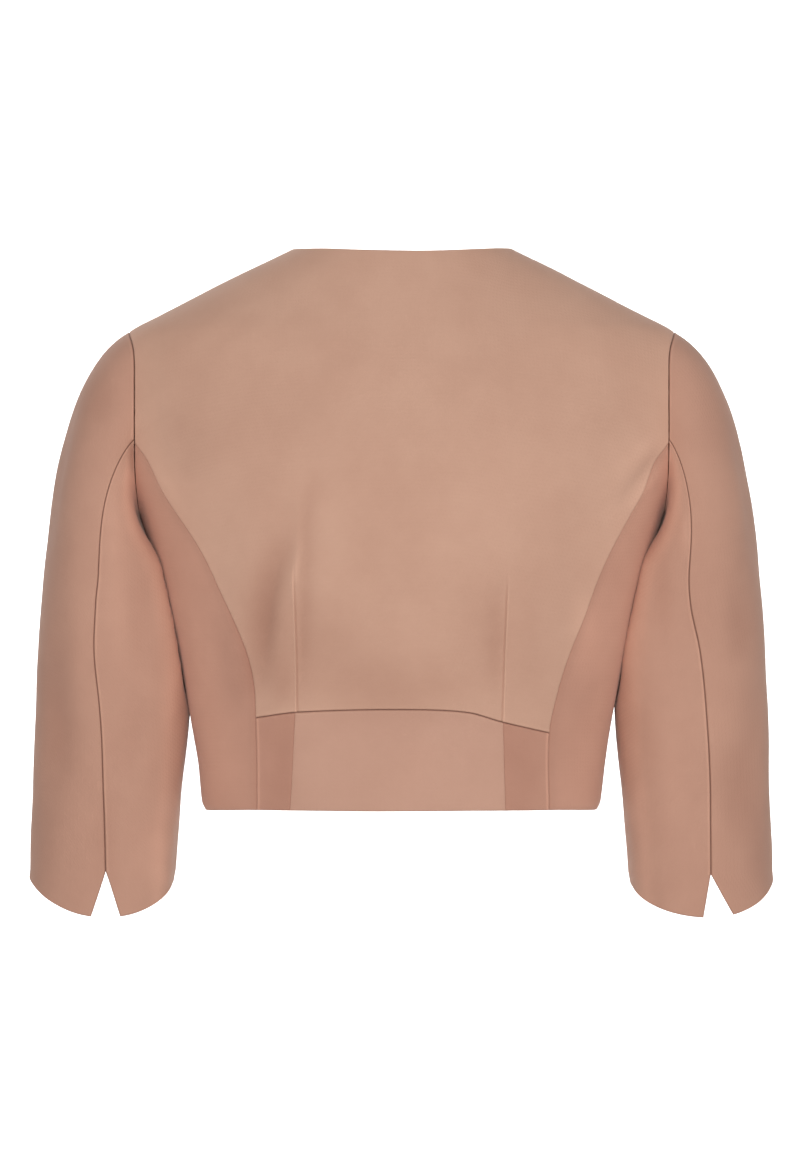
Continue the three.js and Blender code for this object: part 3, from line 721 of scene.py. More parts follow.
def even_grid(surface: Surface, u_keys: Sequence[float], v_keys: Sequence[float]) -> tuple:
    """Parameters for a whole surface, with grid lines kept on its key lines.

    Args:
        surface: points for two parameters.
        u_keys: values of u that keep a grid line.
        v_keys: values of v that keep a grid line.

    Returns:
        The u and v of each grid point.
    """

    def size(fixed: Sequence[float], ends: tuple, along_u: bool) -> float:
        """Mean length on the cloth between two values of one parameter, where the other is fixed."""
        lengths = []
        for still in fixed:
            moving = np.linspace(*ends, DENSE)
            held = np.full_like(moving, still)
            line = surface(moving, held) if along_u else surface(held, moving)
            lengths.append(np.linalg.norm(np.diff(line, axis=0), axis=-1).sum())
        return float(np.mean(lengths))

    u_ends = list(zip(u_keys[:-1], u_keys[1:]))
    v_ends = list(zip(v_keys[:-1], v_keys[1:]))
    widths = [size(v_keys, ends, True) for ends in u_ends]
    heights = [size(u_keys, ends, False) for ends in v_ends]
    u_rows, v_rows = [], []
    for row, (v_pair, height) in enumerate(zip(v_ends, heights)):
        blocks = []
        for step, (u_pair, width) in enumerate(zip(u_ends, widths)):
            u, v = even_block(surface, u_pair, v_pair, (width, height))
            drop_u, drop_v = int(step > 0), int(row > 0)
            blocks.append((u[drop_v:, drop_u:], v[drop_v:, drop_u:]))
        u_rows.append(np.hstack([block[0] for block in blocks]))
        v_rows.append(np.hstack([block[1] for block in blocks]))
    return np.vstack(u_rows), np.vstack(v_rows)


@dataclass
class Panel:
    """One cut piece of cloth: a thin shell with rolled edges that follows the worn form.

    Attributes:
        node: the solid that it stands for, whose name it takes.
        slot: the record's material slot.
        cut: its flat pattern piece; not used.
        folds: the folds that it keeps.
        cloth: thickness of the cloth.
        allowance_cloth: thickness of the cloth turned in behind its edges.
    """

    node: str
    slot: str
    cut: Cut
    folds: tuple[Fold, ...] = BODY_FOLDS
    cloth: float = 1.1
    allowance_cloth: float = 0.7
    piece: bpy.types.Object | None = field(default=None, init=False)

    @property
    def u_keys(self) -> tuple[float, ...]:
        """Values of u that keep a grid line."""
        return (0.0, 1.0)

    @property
    def v_keys(self) -> tuple[float, ...]:
        """Values of v that keep a grid line."""
        return (0.0, 1.0)

    @property
    def edges(self) -> Edges:
        """The forms of its four edges."""
        raise NotImplementedError

    def points(self, u: Array, v: Array) -> Array:
        """Points of the panel for its two parameters."""
        raise NotImplementedError

    def outward(self, u: Array, v: Array) -> Array:
        """Outward directions of the panel for its two parameters."""
        raise NotImplementedError

    def freedom(self, grid: Grid) -> Array:
        """How freely the cloth moves: 0 along the armhole seam and 1 away from it."""
        raise NotImplementedError

    def detail(self, grid: Grid) -> tuple[Array, Array]:
        """Height and painted light and shade of sewn detail inside the panel."""
        nothing = np.zeros(grid.points.shape[:-1])
        return nothing, nothing

    def slant(self, grid: Grid) -> Array:
        """Painted light that lightens the cloth where it turns towards the arm or the body, where it would lie in
        shade.
        """
        sideways = np.abs(grid.outward[..., 0])
        return FLANK_PAINTED_LIGHT * smooth((sideways - FLANK_LIGHT_FROM) / BODY_FLANK_LIGHT_WIDE) * (grid.outward[..., 1] > 0)

    def relief(self, grid: Grid) -> tuple[Array, Array]:
        """Height of the folds and sewn detail, and the painted light and shade of these and of the flanks."""
        held = self.freedom(grid)
        height, tone = self.detail(grid)
        height = height + soft_waves(grid.points) * held
        tone = tone + self.slant(grid)
        for fold in self.folds:
            strength = fold.strength(grid.points, grid.outward)
            height = height + fold.deep * strength * held
            tone = tone + fold.tone * strength
        return height, tone

    def shell(self, grid: Grid) -> tuple[Array, Array, Array, Array]:
        """Gives the panel its thickness.

        Args:
            grid: the panel's points.

        Returns:
            Outer points, inner points, the painted light and shade, and the strength of the painted shade along seams
            and edges.
        """
        forms = self.edges
        rows, columns = grid.v[:, 0], grid.u[0, :]
        runs = (forms.start, forms.end, forms.bottom, forms.top)
        places = (rows[:, None], rows[:, None], columns[None, :], columns[None, :])
        height, tone = self.relief(grid)
        fall, behind, rise, line = (np.zeros(grid.u.shape) for _ in range(4))
        around = grid.points @ np.array(PUCKER_AHEAD)
        for run, place, away in zip(runs, places, grid.reach()):
            size = {name: run.values(name, place) for name in EdgeForm.__dataclass_fields__}
            rounding = 1 - np.sqrt(1 - (1 - np.clip(away / size["roll"], 0, 1)) ** 2)
            fall = np.minimum(fall, -size["drop"] * rounding)
            lip = np.exp(-(((away - size["roll"] * LIP_PLACE) / LIP_WIDE) ** 2))
            gathers = np.sin(around * PUCKER_FINE) * np.sin(around * PUCKER_WIDE + PUCKER_START)
            pull = gathers * np.exp(-away / PUCKER_FADE)
            height = height + size["lip"] * lip + size["pucker"] * pull
            tone = tone + size["pale"] * lip + size["shade"] * np.exp(-((away / size["shade_wide"]) ** 2))
            behind = np.maximum(behind, smooth((size["allowance"] - away) / ALLOWANCE_FADE + 0.5))
            rise = np.maximum(rise, size["turned"] * rounding)
            line = np.maximum(line, size["line"] * np.exp(-((away / size["line_wide"]) ** 2)))
        depth = self.cloth + self.allowance_cloth * behind
        outer = grid.points + grid.outward * (height + fall)[..., None]
        inner_fall = -depth + rise * (depth - FREE_EDGE_DROP)
        inner = grid.points + grid.outward * (height + inner_fall)[..., None]
        return outer, inner, tone, line

    def build(self) -> bpy.types.Object:
        """Makes the panel's mesh and ties it to the frame.

        Returns:
            The panel's object.
        """
        u, v = even_grid(self.points, self.u_keys, self.v_keys)
        grid = Grid(self.points(u, v), self.outward(u, v), u, v)
        start, _, bottom, _ = grid.reach()
        run = np.stack([start, bottom], -1)
        self.piece = shell_object("cloth_" + self.node, *self.shell(grid), grid.outward, run)
        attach(self.piece, "root")
        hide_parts(self.node)
        return self.piece

    def dress(self, finish: "CrepeFinish") -> None:
        """Gives the panel its cloth."""
        self.piece.data.materials.append(finish.material)


def shell_object(
    name: str, outer: Array, inner: Array, tone: Array, line: Array, outward: Array, cloth_run: Array
) -> bpy.types.Object:
    """Makes a closed thin shell from two grids of points.

    Args:
        name: the object's name.
        outer: outer points in millimetres.
        inner: inner points in millimetres.
        tone: painted light and shade at each outer point.
        line: strength of the painted shade along seams and edges at each outer point.
        outward: outward directions, which settle how the faces turn.
        cloth_run: distances along the cloth both ways, for its weave.

    Returns:
        The object, linked to the scene.
    """
    rows, columns = outer.shape[:2]
    number = np.arange(rows * columns).reshape(rows, columns)
    a, b, c, d = number[:-1, :-1], number[:-1, 1:], number[1:, 1:], number[1:, :-1]
    face = np.stack([a, b, c, d], -1).reshape(-1, 4)
    back = face[:, ::-1] + rows * columns

    def strip(border: Array) -> Array:
        """Faces that join the outer and inner sides along one edge."""
        low = border + rows * columns
        return np.stack([border[:-1], low[:-1], low[1:], border[1:]], -1)

    borders = (number[0, :], number[:, -1], number[-1, ::-1], number[::-1, 0])
    rim = np.vstack([strip(border) for border in borders])
    faces = np.vstack([face, back, rim])
    middle = (rows // 2, columns // 2)
    across = outer[middle[0], middle[1] + 1] - outer[middle]
    up = outer[middle[0] + 1, middle[1]] - outer[middle]
    if np.cross(across, up) @ outward[middle] < 0:
        faces = faces[:, ::-1]
    vertices = np.vstack([outer.reshape(-1, 3), inner.reshape(-1, 3)]) * MM
    mesh = bpy.data.meshes.new(name)
    mesh.from_pydata(vertices.tolist(), [], faces.tolist())
    mesh.update()
    corners = np.empty(len(mesh.loops), int)
    mesh.loops.foreach_get("vertex_index", corners)
    run = np.vstack([cloth_run.reshape(-1, 2)] * 2) * MM
    layer = mesh.uv_layers.new(name="weave")
    layer.data.foreach_set("uv", run[corners].ravel())
    # Stores the painted light and shade and the painted shade along seams and edges, for the material.
    for label, values in (("tone", tone), ("line", line)):
        made = mesh.attributes.new(label, "FLOAT", "POINT")
        made.data.foreach_set("value", np.concatenate([values.ravel(), np.zeros(values.size)]))
    mesh.polygons.foreach_set("use_smooth", np.ones(len(mesh.polygons), bool))
    made = bpy.data.objects.new(name, mesh)
    bpy.context.scene.collection.objects.link(made)
    return made


@dataclass
class BodyPanel(Panel):
    """A panel of the jacket's body, placed by its distance from the middle and its height."""

    FACE = Face.BACK
    ARMHOLE_HOLD = 14.0

    def place(self, u: Array, v: Array) -> tuple[Array, Array]:
        """Places of the panel: distances from the middle and heights."""
        raise NotImplementedError

    def points(self, u: Array, v: Array) -> Array:
        """Points of the panel for its two parameters."""
        return BodyForm.points(*self.place(u, v), self.FACE)

    def outward(self, u: Array, v: Array) -> Array:
        """Outward directions of the panel for its two parameters."""
        return BodyForm.outward(*self.place(u, v), self.FACE)

    def freedom(self, grid: Grid) -> Array:
        """How freely the cloth moves: 0 at the armhole seam and 1 from ARMHOLE_HOLD millimetres off."""
        x, z = grid.points[..., 0], grid.points[..., 2]
        seam = BodyForm.side_x(np.maximum(z, UNDERARM_Z), self.FACE)
        beside = np.clip(seam - np.abs(x), 0, None)
        below = np.clip(UNDERARM_Z - z, 0, None)
        return smooth(np.hypot(beside, below) / self.ARMHOLE_HOLD)


def hem_line(middle_x: float, side_x: float, share: Array) -> Array:
    """Places along a hem, from its end near the middle to the side seam, where it drops a little."""
    x = mix(middle_x, side_x, np.sin(share * np.pi / 2))
    return np.stack([x, HEM_Z - SIDE_HEM_DROP * smooth(share)], -1)


def coons(bottom: Line, top: Line, start: Line, end: Line, u: Array, v: Array) -> Array:
    """Blends four edges into places inside them.

    Args:
        bottom: places along the bottom for u.
        top: places along the top for u.
        start: places along the first side for v.
        end: places along the second side for v.
        u: first parameter.
        v: second parameter.

    Returns:
        Places as distances from the middle and heights.
    """
    low, high = bottom(u), top(u)
    first, last = start(v), end(v)
    zero, one = np.zeros_like(u), np.ones_like(u)
    u1, v1 = u[..., None], v[..., None]
    place = mix(low, high, v1) + mix(first, last, u1)
    corners = mix(mix(bottom(zero), bottom(one), u1), mix(top(zero), top(one), u1), v1)
    return place - corners


class BackSeams:
    """Lines of the seams across the back."""

    @staticmethod
    def princess(z: Array, side: Side) -> Array:
        """The curved seam's place from the middle."""
        return side.value * column(PRINCESS, side.word, z)

    @staticmethod
    def band(z: Array, side: Side) -> Array:
        """The band's upright seam's place from the middle."""
        return side.value * column(BAND_SEAM, side.word, z)

    @staticmethod
    def dart(z: Array, side: Side) -> Array:
        """The line through the dart and up to the inner end of the shoulder seam."""
        return side.value * column(DART_LINE, side.word, z)

    @staticmethod
    def waist_z(x: Array) -> Array:
        """Height of the waist seam."""
        return column(WAIST_SEAM, "z", x, "x")

    @classmethod
    def waist_on(cls, seam: Line) -> float:
        """Height at which an upright seam meets the waist seam."""
        z = np.float64(WAIST_SEAM[3].z)
        for _ in range(5):
            z = cls.waist_z(seam(z))
        return float(z)


class Ridge(NamedTuple):
    """A ridge or groove along a dart: its distance outside the dart's line, width, height, and the painted highlight
    (positive) or painted shade (negative) on it.
    """

    away: float
    wide: float
    high: float
    tone: float


# A pressed ridge with a painted highlight, a groove with painted shade beside it, and a broad shallow dip.
DART_RIDGES = (
    Ridge(0.5, 0.6, 0.36, 0.2),
    Ridge(-0.6, 0.6, -0.5, -0.22),
    Ridge(-3.2, 2.6, -0.3, 0.0),
)


@dataclass
class MiddleBack(BodyPanel):
    """Upper middle back: from the neckline and shoulder seams to the waist seam, with a dart on each side."""

    DART_EDGE = 0.5
    DART_OVERRUN = 14.0
    DART_FADE = 26.0

    @property
    def u_keys(self) -> tuple[float, ...]:
        """Its edges and the column lines through its darts."""
        return (-1.0, -self.DART_EDGE, self.DART_EDGE, 1.0)

    @property
    def edges(self) -> Edges:
        """Curved seams that turn into the armholes, the waist seam, and shoulder seams beside the neckline."""
        side = EdgeRun(CURVE_OVER, ARMSEAM, self.princess_share())
        return Edges(side, side, EdgeRun(SEAM), EdgeRun(SHOULDER))

    @staticmethod
    def princess_share() -> float:
        """Share of the side edge at which the curved seam meets the armhole."""
        low = BackSeams.waist_on(lambda z: BackSeams.princess(z, Side.LEFT))
        return (PRINCESS_TOP_Z - low) / (TIP_Z - low)

    @staticmethod
    def edge_x(z: Array, side: Side) -> Array:
        """The panel's edge: up the curved seam, then up the armhole."""
        seam = side.value * (column(PRINCESS, side.word, z) - SEAM_GAP / 2)
        return np.where(z > PRINCESS_TOP_Z, side.value * BodyForm.side_x(z, Face.BACK), seam)

    @classmethod
    def across(cls, share: Array, edge: Array, dart: Array) -> Array:
        """A place between the middle, the dart's line and the edge, for a share from 0 to 1."""
        inner = dart * share / cls.DART_EDGE
        outer = mix(dart, edge, (share - cls.DART_EDGE) / (1 - cls.DART_EDGE))
        return np.where(share < cls.DART_EDGE, inner, outer)

    def half_place(self, share: Array, v: Array, side: Side) -> tuple[Array, Array]:
        """Places on one half of the panel, from the middle (0) to its edge (1)."""
        low = BackSeams.waist_on(lambda z: BackSeams.princess(z, side)) + SEAM_GAP / 2
        bottom_x = self.across(share, self.edge_x(np.float64(low), side), BackSeams.dart(np.float64(low), side))
        top_x = self.across(share, self.edge_x(np.float64(TIP_Z), side), side.value * NECK_HALF)
        bottom_z = np.where(share >= 1, low, BackSeams.waist_z(bottom_x) + SEAM_GAP / 2)
        reach = np.clip(np.abs(top_x) / NECK_HALF, 0, 1)
        neck_z = -NECK_DIP * np.cos(reach * np.pi / 2) ** 1.2
        top_z = np.where(np.abs(top_x) > NECK_HALF, BodyForm.shoulder_z(top_x), neck_z)
        dart_low = BackSeams.waist_z(BackSeams.dart(np.float64(low), side)) + SEAM_GAP / 2
        edge = self.edge_x(mix(low, TIP_Z, v), side)
        dart = BackSeams.dart(mix(dart_low, 0.0, v), side)
        return self.across(share, edge, dart), mix(bottom_z, top_z, v)

    def place(self, u: Array, v: Array) -> tuple[Array, Array]:
        """Places of the panel: distances from the middle and heights."""
        left_x, left_z = self.half_place(np.abs(u), v, Side.LEFT)
        right_x, right_z = self.half_place(np.abs(u), v, Side.RIGHT)
        return np.where(u < 0, right_x, left_x), np.minimum(np.where(u < 0, right_z, left_z), 0)

    def detail(self, grid: Grid) -> tuple[Array, Array]:
        """Height and painted light and shade of the two darts: a pressed edge with a painted highlight beside a
        groove with painted shade, fading out at the top.
        """
        x, z = grid.points[..., 0], grid.points[..., 2]
        height, tone = np.zeros_like(x), np.zeros_like(x)
        for side in Side:
            away = (x - BackSeams.dart(z, side)) * side.value
            below = smooth((DART_TOP_Z[side] + self.DART_OVERRUN - z) / self.DART_FADE)
            stitched = below * (np.sign(x) == side.value)
            for ridge in DART_RIDGES:
                strength = stitched * np.exp(-(((away - ridge.away) / ridge.wide) ** 2))
                height += ridge.high * strength
                tone += ridge.tone * strength
        return height, tone


@dataclass
class SideBack(BodyPanel):
    """Side back: from the curved seam to the side seam, and from the hem to the armhole."""

    side: Side = Side.LEFT

    @property
    def edges(self) -> Edges:
        """The curved seam, the side seam, the hem and the armhole."""
        return Edges(EdgeRun(CURVE_UNDER), EdgeRun(SIDE_SEAM), EdgeRun(TURNED), EdgeRun(ARMSEAM))

    def place(self, u: Array, v: Array) -> tuple[Array, Array]:
        """Places of the panel: distances from the middle and heights."""
        sign = self.side.value
        turn_top = math.degrees(math.asin(1 - 2 * (PRINCESS_TOP_Z - TIP_Z) / (UNDERARM_Z - TIP_Z)))

        def inner(t: Array) -> Array:
            """Places up the curved seam."""
            z = mix(HEM_Z, PRINCESS_TOP_Z, t)
            return np.stack([BackSeams.princess(z, self.side) + sign * SEAM_GAP / 2, z], -1)

        def outer(t: Array) -> Array:
            """Places up the side seam."""
            z = mix(HEM_Z - SIDE_HEM_DROP, UNDERARM_Z, t)
            return np.stack([sign * BodyForm.side_x(z, Face.BACK), z], -1)

        def bottom(t: Array) -> Array:
            """Places along the hem."""
            return hem_line(inner(np.zeros(1))[0, 0], outer(np.zeros(1))[0, 0], t)

        def top(t: Array) -> Array:
            """Places round the foot of the armhole."""
            z = BodyForm.armhole_z(mix(turn_top, -90.0, t))
            x = BodyForm.side_x(z, Face.BACK) + np.where(t <= 0, SEAM_GAP / 2, 0)
            return np.stack([sign * x, z], -1)

        place = coons(bottom, top, inner, outer, u, v)
        return place[..., 0], place[..., 1]


@dataclass
class BandPiece(BodyPanel):
    """A piece of the band under the waist seam, between two upright seams."""

    right_seam: Line = BackSeams.waist_z
    left_seam: Line = BackSeams.waist_z
    right_edge: EdgeForm = BAND_OVER
    left_edge: EdgeForm = BAND_OVER

    @property
    def edges(self) -> Edges:
        """Two upright seams, the hem and the waist seam."""
        return Edges(EdgeRun(self.right_edge), EdgeRun(self.left_edge), EdgeRun(TURNED), EdgeRun(SEAM))

    def place(self, u: Array, v: Array) -> tuple[Array, Array]:
        """Places of the panel: distances from the middle and heights."""
        gap = SEAM_GAP / 2
        right = self.right_seam(np.float64(BackSeams.waist_on(self.right_seam))) + gap
        left = self.left_seam(np.float64(BackSeams.waist_on(self.left_seam))) - gap
        z = mix(HEM_Z, BackSeams.waist_z(mix(right, left, u)) - gap, v)
        return mix(self.right_seam(z) + gap, self.left_seam(z) - gap, u), z

    def freedom(self, grid: Grid) -> Array:
        """The band is free all over."""
        return np.ones(grid.u.shape)


@dataclass
class Front(BodyPanel):
    """A plain front: from its free edge to the side seam and armhole, with a round neckline."""

    FACE = Face.FRONT
    NECK_SHARE = 0.5
    side: Side = Side.LEFT

    @property
    def u_keys(self) -> tuple[float, ...]:
        """Its edges and the line below the inner end of the shoulder seam."""
        return (0.0, self.NECK_SHARE, 1.0)

    @property
    def v_keys(self) -> tuple[float, ...]:
        """The hem, the underarm and the shoulder."""
        return (0.0, self.underarm_share(), 1.0)

    @staticmethod
    def underarm_share() -> float:
        """Share of the side edge at which the side seam meets the armhole."""
        low = HEM_Z - SIDE_HEM_DROP
        return (UNDERARM_Z - low) / (TIP_Z - low)

    @property
    def edges(self) -> Edges:
        """The free edge, the side seam and armhole, the hem, and the neckline and shoulder seam."""
        side = EdgeRun(SIDE_SEAM, ARMSEAM, self.underarm_share())
        return Edges(EdgeRun(TURNED), side, EdgeRun(TURNED), EdgeRun(TURNED, SHOULDER, self.NECK_SHARE))

    def place(self, u: Array, v: Array) -> tuple[Array, Array]:
        """Places of the panel: distances from the middle and heights."""

        def inner(t: Array) -> Array:
            """Places up the free edge."""
            return np.stack([np.full_like(t, FRONT_EDGE_X), mix(HEM_Z, FRONT_NECK_Z, t)], -1)

        def outer(t: Array) -> Array:
            """Places up the side seam and the armhole."""
            z = mix(HEM_Z - SIDE_HEM_DROP, TIP_Z, t)
            return np.stack([BodyForm.side_x(z, Face.FRONT), z], -1)

        def bottom(t: Array) -> Array:
            """Places along the hem."""
            return hem_line(FRONT_EDGE_X, outer(np.zeros(1))[0, 0], t)

        def top(t: Array) -> Array:
            """Places along the neckline and the shoulder seam."""
            tip = ARMHOLE[0].front
            low = mix(FRONT_EDGE_X, NECK_HALF, t / self.NECK_SHARE)
            high = mix(NECK_HALF, tip, (t - self.NECK_SHARE) / (1 - self.NECK_SHARE))
            x = np.where(t < self.NECK_SHARE, low, high)
            neck_z = column(FRONT_NECK, "z", x, "x")
            return np.stack([x, np.where(x > NECK_HALF, BodyForm.shoulder_z(x), neck_z)], -1)

        place = coons(bottom, top, inner, outer, u, v)
        return place[..., 0] * self.side.value, np.minimum(place[..., 1], 0)


class Half(Enum):
    """The two pieces of a sleeve."""

    UPPER = "upper"
    UNDER = "under"


class Vent(NamedTuple):
    """The V cut in a sleeve hem: its top, how far each side opens, and how long the hem takes to rise beside it."""

    top: float
    upper: float
    under: float
    upper_run: float
    under_run: float


VENTS = {
    Side.LEFT: Vent(-447, 9.5, 10.5, 98, 100),
    Side.RIGHT: Vent(-449, 16, 5, 96, 118),
}


SLEEVE_FREE = 0.1
SLEEVE_HELD = 0.08
MOST_OVER = 80.0
ALONG_STEP = 0.004


@dataclass
class SleeveForm:
    """The form of one sleeve, from its cap at the armhole to the hem.

    Attributes:
        side: the wearer's side.
        cap_share: share of its length that the cap takes.
        cap_lead: how far the cap runs on past the armhole, as a share of its length.
        cap_fall: the same where it joins the sleeve below.
        cap_slope: degrees by which the cap falls at the shoulder.
        cap_turn: further degrees by the underarm.
        cap_spread: how far the cap leans backwards and forwards as it leaves the armhole.
        fore_turn: turn of the front seam.
        radius: mean radius of the sleeve.
        low_z: height of the two points beside the vent.
        rise: rise of the hem from those points.
    """

    side: Side
    cap_share: float = 0.4
    cap_lead: float = 0.315
    cap_fall: float = 0.215
    cap_slope: float = 28.8
    cap_turn: float = 60.0
    cap_spread: float = 0.28
    fore_turn: float = 220.91
    radius: float = 48.0
    low_z: float = -480.0
    rise: float = 29.0

    @property
    def vent(self) -> Vent:
        """The V cut in its hem."""
        return VENTS[self.side]

    @property
    def vent_along(self) -> float:
        """Share of the sleeve's length at the top of the vent."""
        cap_z = SLEEVE_SECTIONS[0].z
        return self.cap_share + (self.vent.top - cap_z) / (self.low_z - cap_z) * (1 - self.cap_share)

    @staticmethod
    def armhole(turn: Array) -> Array:
        """Points of the armhole seam at turns about the arm."""
        z = BodyForm.armhole_z(turn)
        behind = np.cos(np.radians(turn)) >= 0
        made = []
        for face in (Face.BACK, Face.FRONT):
            x = BodyForm.side_x(z, face)
            made.append(BodyForm.at(BodyForm.turn_of(x, z, face), z))
        return np.where(behind[..., None], made[0], made[1])

    @staticmethod
    def tube(turn: Array, z: Array) -> Array:
        """Points of the hanging part of the sleeve at turns about the arm."""
        outer, inner = column(SLEEVE_SECTIONS, "outer", z), column(SLEEVE_SECTIONS, "inner", z)
        back, front = column(SLEEVE_SECTIONS, "back", z), column(SLEEVE_SECTIONS, "front", z)
        angle = np.radians(turn)
        reach, depth = np.sin(angle), np.cos(angle)
        pressed = (1 - np.abs(reach) ** SLEEVE_SQUARE) ** (1 / SLEEVE_SQUARE)
        depth = np.where((reach < 0) & (depth > 0), pressed, depth)
        x = (outer + inner) / 2 + (outer - inner) / 2 * reach
        x = x - column(SLEEVE_SECTIONS, "press", z) * np.minimum(reach, 0) ** 2
        y = (back - front) / 2 + (back + front) / 2 * depth
        return np.stack([x, y, np.broadcast_to(z, x.shape)], -1)

    def cap(self, turn: Array, share: Array) -> Array:
        """Points of the cap at turns about the arm and shares of its length."""
        cap_z = np.full_like(turn, SLEEVE_SECTIONS[0].z)
        start = self.armhole(turn)
        start[..., 0] += SEAM_GAP
        end = self.tube(turn, cap_z)
        fall = unit(end - self.tube(turn, cap_z - 4))
        angle = np.radians(turn)
        slope = np.radians(self.cap_slope + self.cap_turn * ((1 - np.sin(angle)) / 2) ** 1.5)
        lead = unit(np.stack([np.cos(slope), self.cap_spread * np.cos(angle), -np.sin(slope)], -1))
        reach = np.linalg.norm(end - start, axis=-1)[..., None]
        first = start + lead * self.cap_lead * reach
        second = end + fall * self.cap_fall * reach
        t = share[..., None]
        s = 1 - t
        return start * s**3 + first * 3 * s * s * t + second * 3 * s * t * t + end * t**3

    def at(self, turn: Array, along: Array) -> Array:
        """Points of the sleeve at turns and shares of its length, kept clear of the body."""
        share = (along - self.cap_share) / (1 - self.cap_share)
        low = self.tube(turn, mix(SLEEVE_SECTIONS[0].z, self.low_z, np.clip(share, 0, None)))
        high = self.cap(turn, np.clip(along, 0, self.cap_share) / self.cap_share)
        made = np.where((along >= self.cap_share)[..., None], low, high)
        x, y, z = made[..., 0], made[..., 1], made[..., 2]
        behind = y >= 0
        power = np.where(behind, column(BODY_SECTIONS, "back_power", z), column(BODY_SECTIONS, "front_power", z))
        depth = np.where(behind, column(BODY_SECTIONS, "back", z), column(BODY_SECTIONS, "front", z))
        inset = np.clip(np.abs(y) / depth, 0, 1) ** power
        edge = column(BODY_SECTIONS, "half", z) * (1 - inset) ** (1 / power)
        over = np.minimum((edge + SLEEVE_CLEAR - x) / CLEAR_SOFTNESS, MOST_OVER)
        made[..., 0] += smooth(along / SLEEVE_FREE) * CLEAR_SOFTNESS * np.log1p(np.exp(over))
        return made

    def hem_z(self, distance: Array, run: float) -> Array:
        """Height of the hem at a distance round the sleeve from its rear seam."""
        share = np.clip(np.abs(distance) / run, 0, 1)
        return self.low_z + self.rise * (1 - np.cos(share * np.pi)) / 2


@dataclass
class SleeveHalf(Panel):
    """One piece of a sleeve, between its rear seam and its front seam, with one side of the vent."""

    form: SleeveForm | None = None
    half: Half = Half.UPPER

    @property
    def v_keys(self) -> tuple[float, ...]:
        """The armhole, the top of the vent and the hem."""
        return (-1.0, 0.0, 1.0)

    @property
    def edges(self) -> Edges:
        """The rear seam that opens into the vent, the front seam, the armhole and the hem."""
        rear = REAR_OVER if self.half is Half.UPPER else REAR_UNDER
        return Edges(EdgeRun(rear, TURNED, 0.0), EdgeRun(SIDE_SEAM), EdgeRun(CAP_SEAM), EdgeRun(TURNED))

    def turns(self, u: Array, v: Array) -> tuple[Array, Array, Array]:
        """Turns about the arm, shares of the length, and shares of the vent."""
        form, vent = self.form, self.form.vent
        upper = self.half is Half.UPPER
        opened = np.clip(v, 0, None)
        along = np.where(opened > 0, mix(form.vent_along, 1.0, opened), form.vent_along * (1 + v))
        degrees = math.degrees(1 / form.radius)
        spread = vent.upper if upper else -vent.under
        sewn = SEAM_GAP / 2 if upper else -SEAM_GAP / 2
        seam = column(REAR_SEAM, form.side.word, along, "along")
        near = seam + degrees * (opened * spread + sewn)
        far = form.fore_turn - degrees * sewn - (0 if upper else 360)
        return mix(near, far, u), along, opened

    def points(self, u: Array, v: Array) -> Array:
        """Points of the panel for its two parameters."""
        form, vent = self.form, self.form.vent
        turn, along, opened = self.turns(u, v)
        made = form.at(turn, along)
        seam = column(REAR_SEAM, form.side.word, np.float64(1.0), "along")
        distance = np.radians(turn - seam) * form.radius
        run = vent.upper_run if self.half is Half.UPPER else vent.under_run
        hem = mix(vent.top, form.hem_z(distance, run), opened)
        made[..., 2] = np.where(opened > 0, hem, made[..., 2])
        made[..., 0] *= form.side.value
        return made

    def outward(self, u: Array, v: Array) -> Array:
        """Outward directions of the panel for its two parameters."""
        turn, along, _ = self.turns(u, v)
        out = outward_of(self.form.at, turn, np.maximum(along, ALONG_STEP), 1.0, ALONG_STEP)
        out[..., 0] *= self.form.side.value
        return out

    def slant(self, grid: Grid) -> Array:
        """Painted light that lightens the sleeve where it faces the body, where it would lie in shade."""
        inward = -grid.outward[..., 0] * self.form.side.value
        return FLANK_PAINTED_LIGHT * smooth((inward - FLANK_LIGHT_FROM) / SLEEVE_FLANK_LIGHT_WIDE) * (grid.outward[..., 1] > 0)

    def freedom(self, grid: Grid) -> Array:
        """The sleeve is held at the armhole and free below it."""
        along = np.where(grid.v > 0, 1.0, self.form.vent_along * (1 + grid.v))
        return smooth(along / SLEEVE_HELD)


class Nodes:
    """A node tree under construction."""

    def __init__(self, tree: bpy.types.NodeTree) -> None:
        """Keeps the tree."""
        self.tree = tree

    def add(self, kind: str, **settings: object) -> bpy.types.Node:
        """Adds a node and sets its properties."""
        node = self.tree.nodes.new(kind)
        for name, value in settings.items():
            setattr(node, name, value)
        return node

    def link(self, source: bpy.types.NodeSocket, target: bpy.types.NodeSocket) -> None:
        """Joins two sockets."""
        self.tree.links.new(source, target)

    def math(self, operation: str, first: object, second: object) -> bpy.types.NodeSocket:
        """A sum on two sockets or numbers.

        Args:
            operation: the Math node's operation.
            first: a socket or a number.
            second: a socket or a number.

        Returns:
            The result's socket.
        """
        node = self.add("ShaderNodeMath", operation=operation)
        for slot, value in zip(node.inputs, (first, second)):
            if isinstance(value, bpy.types.NodeSocket):
                self.link(value, slot)
            else:
                slot.default_value = value
        return node.outputs[0]

    def noise(self, vector: bpy.types.NodeSocket, scale: float, detail: float) -> bpy.types.NodeSocket:
        """A noise pattern's grey value."""
        node = self.add("ShaderNodeTexNoise")
        node.inputs["Scale"].default_value = scale
        node.inputs["Detail"].default_value = detail
        self.link(vector, node.inputs["Vector"])
        return node.outputs[0]


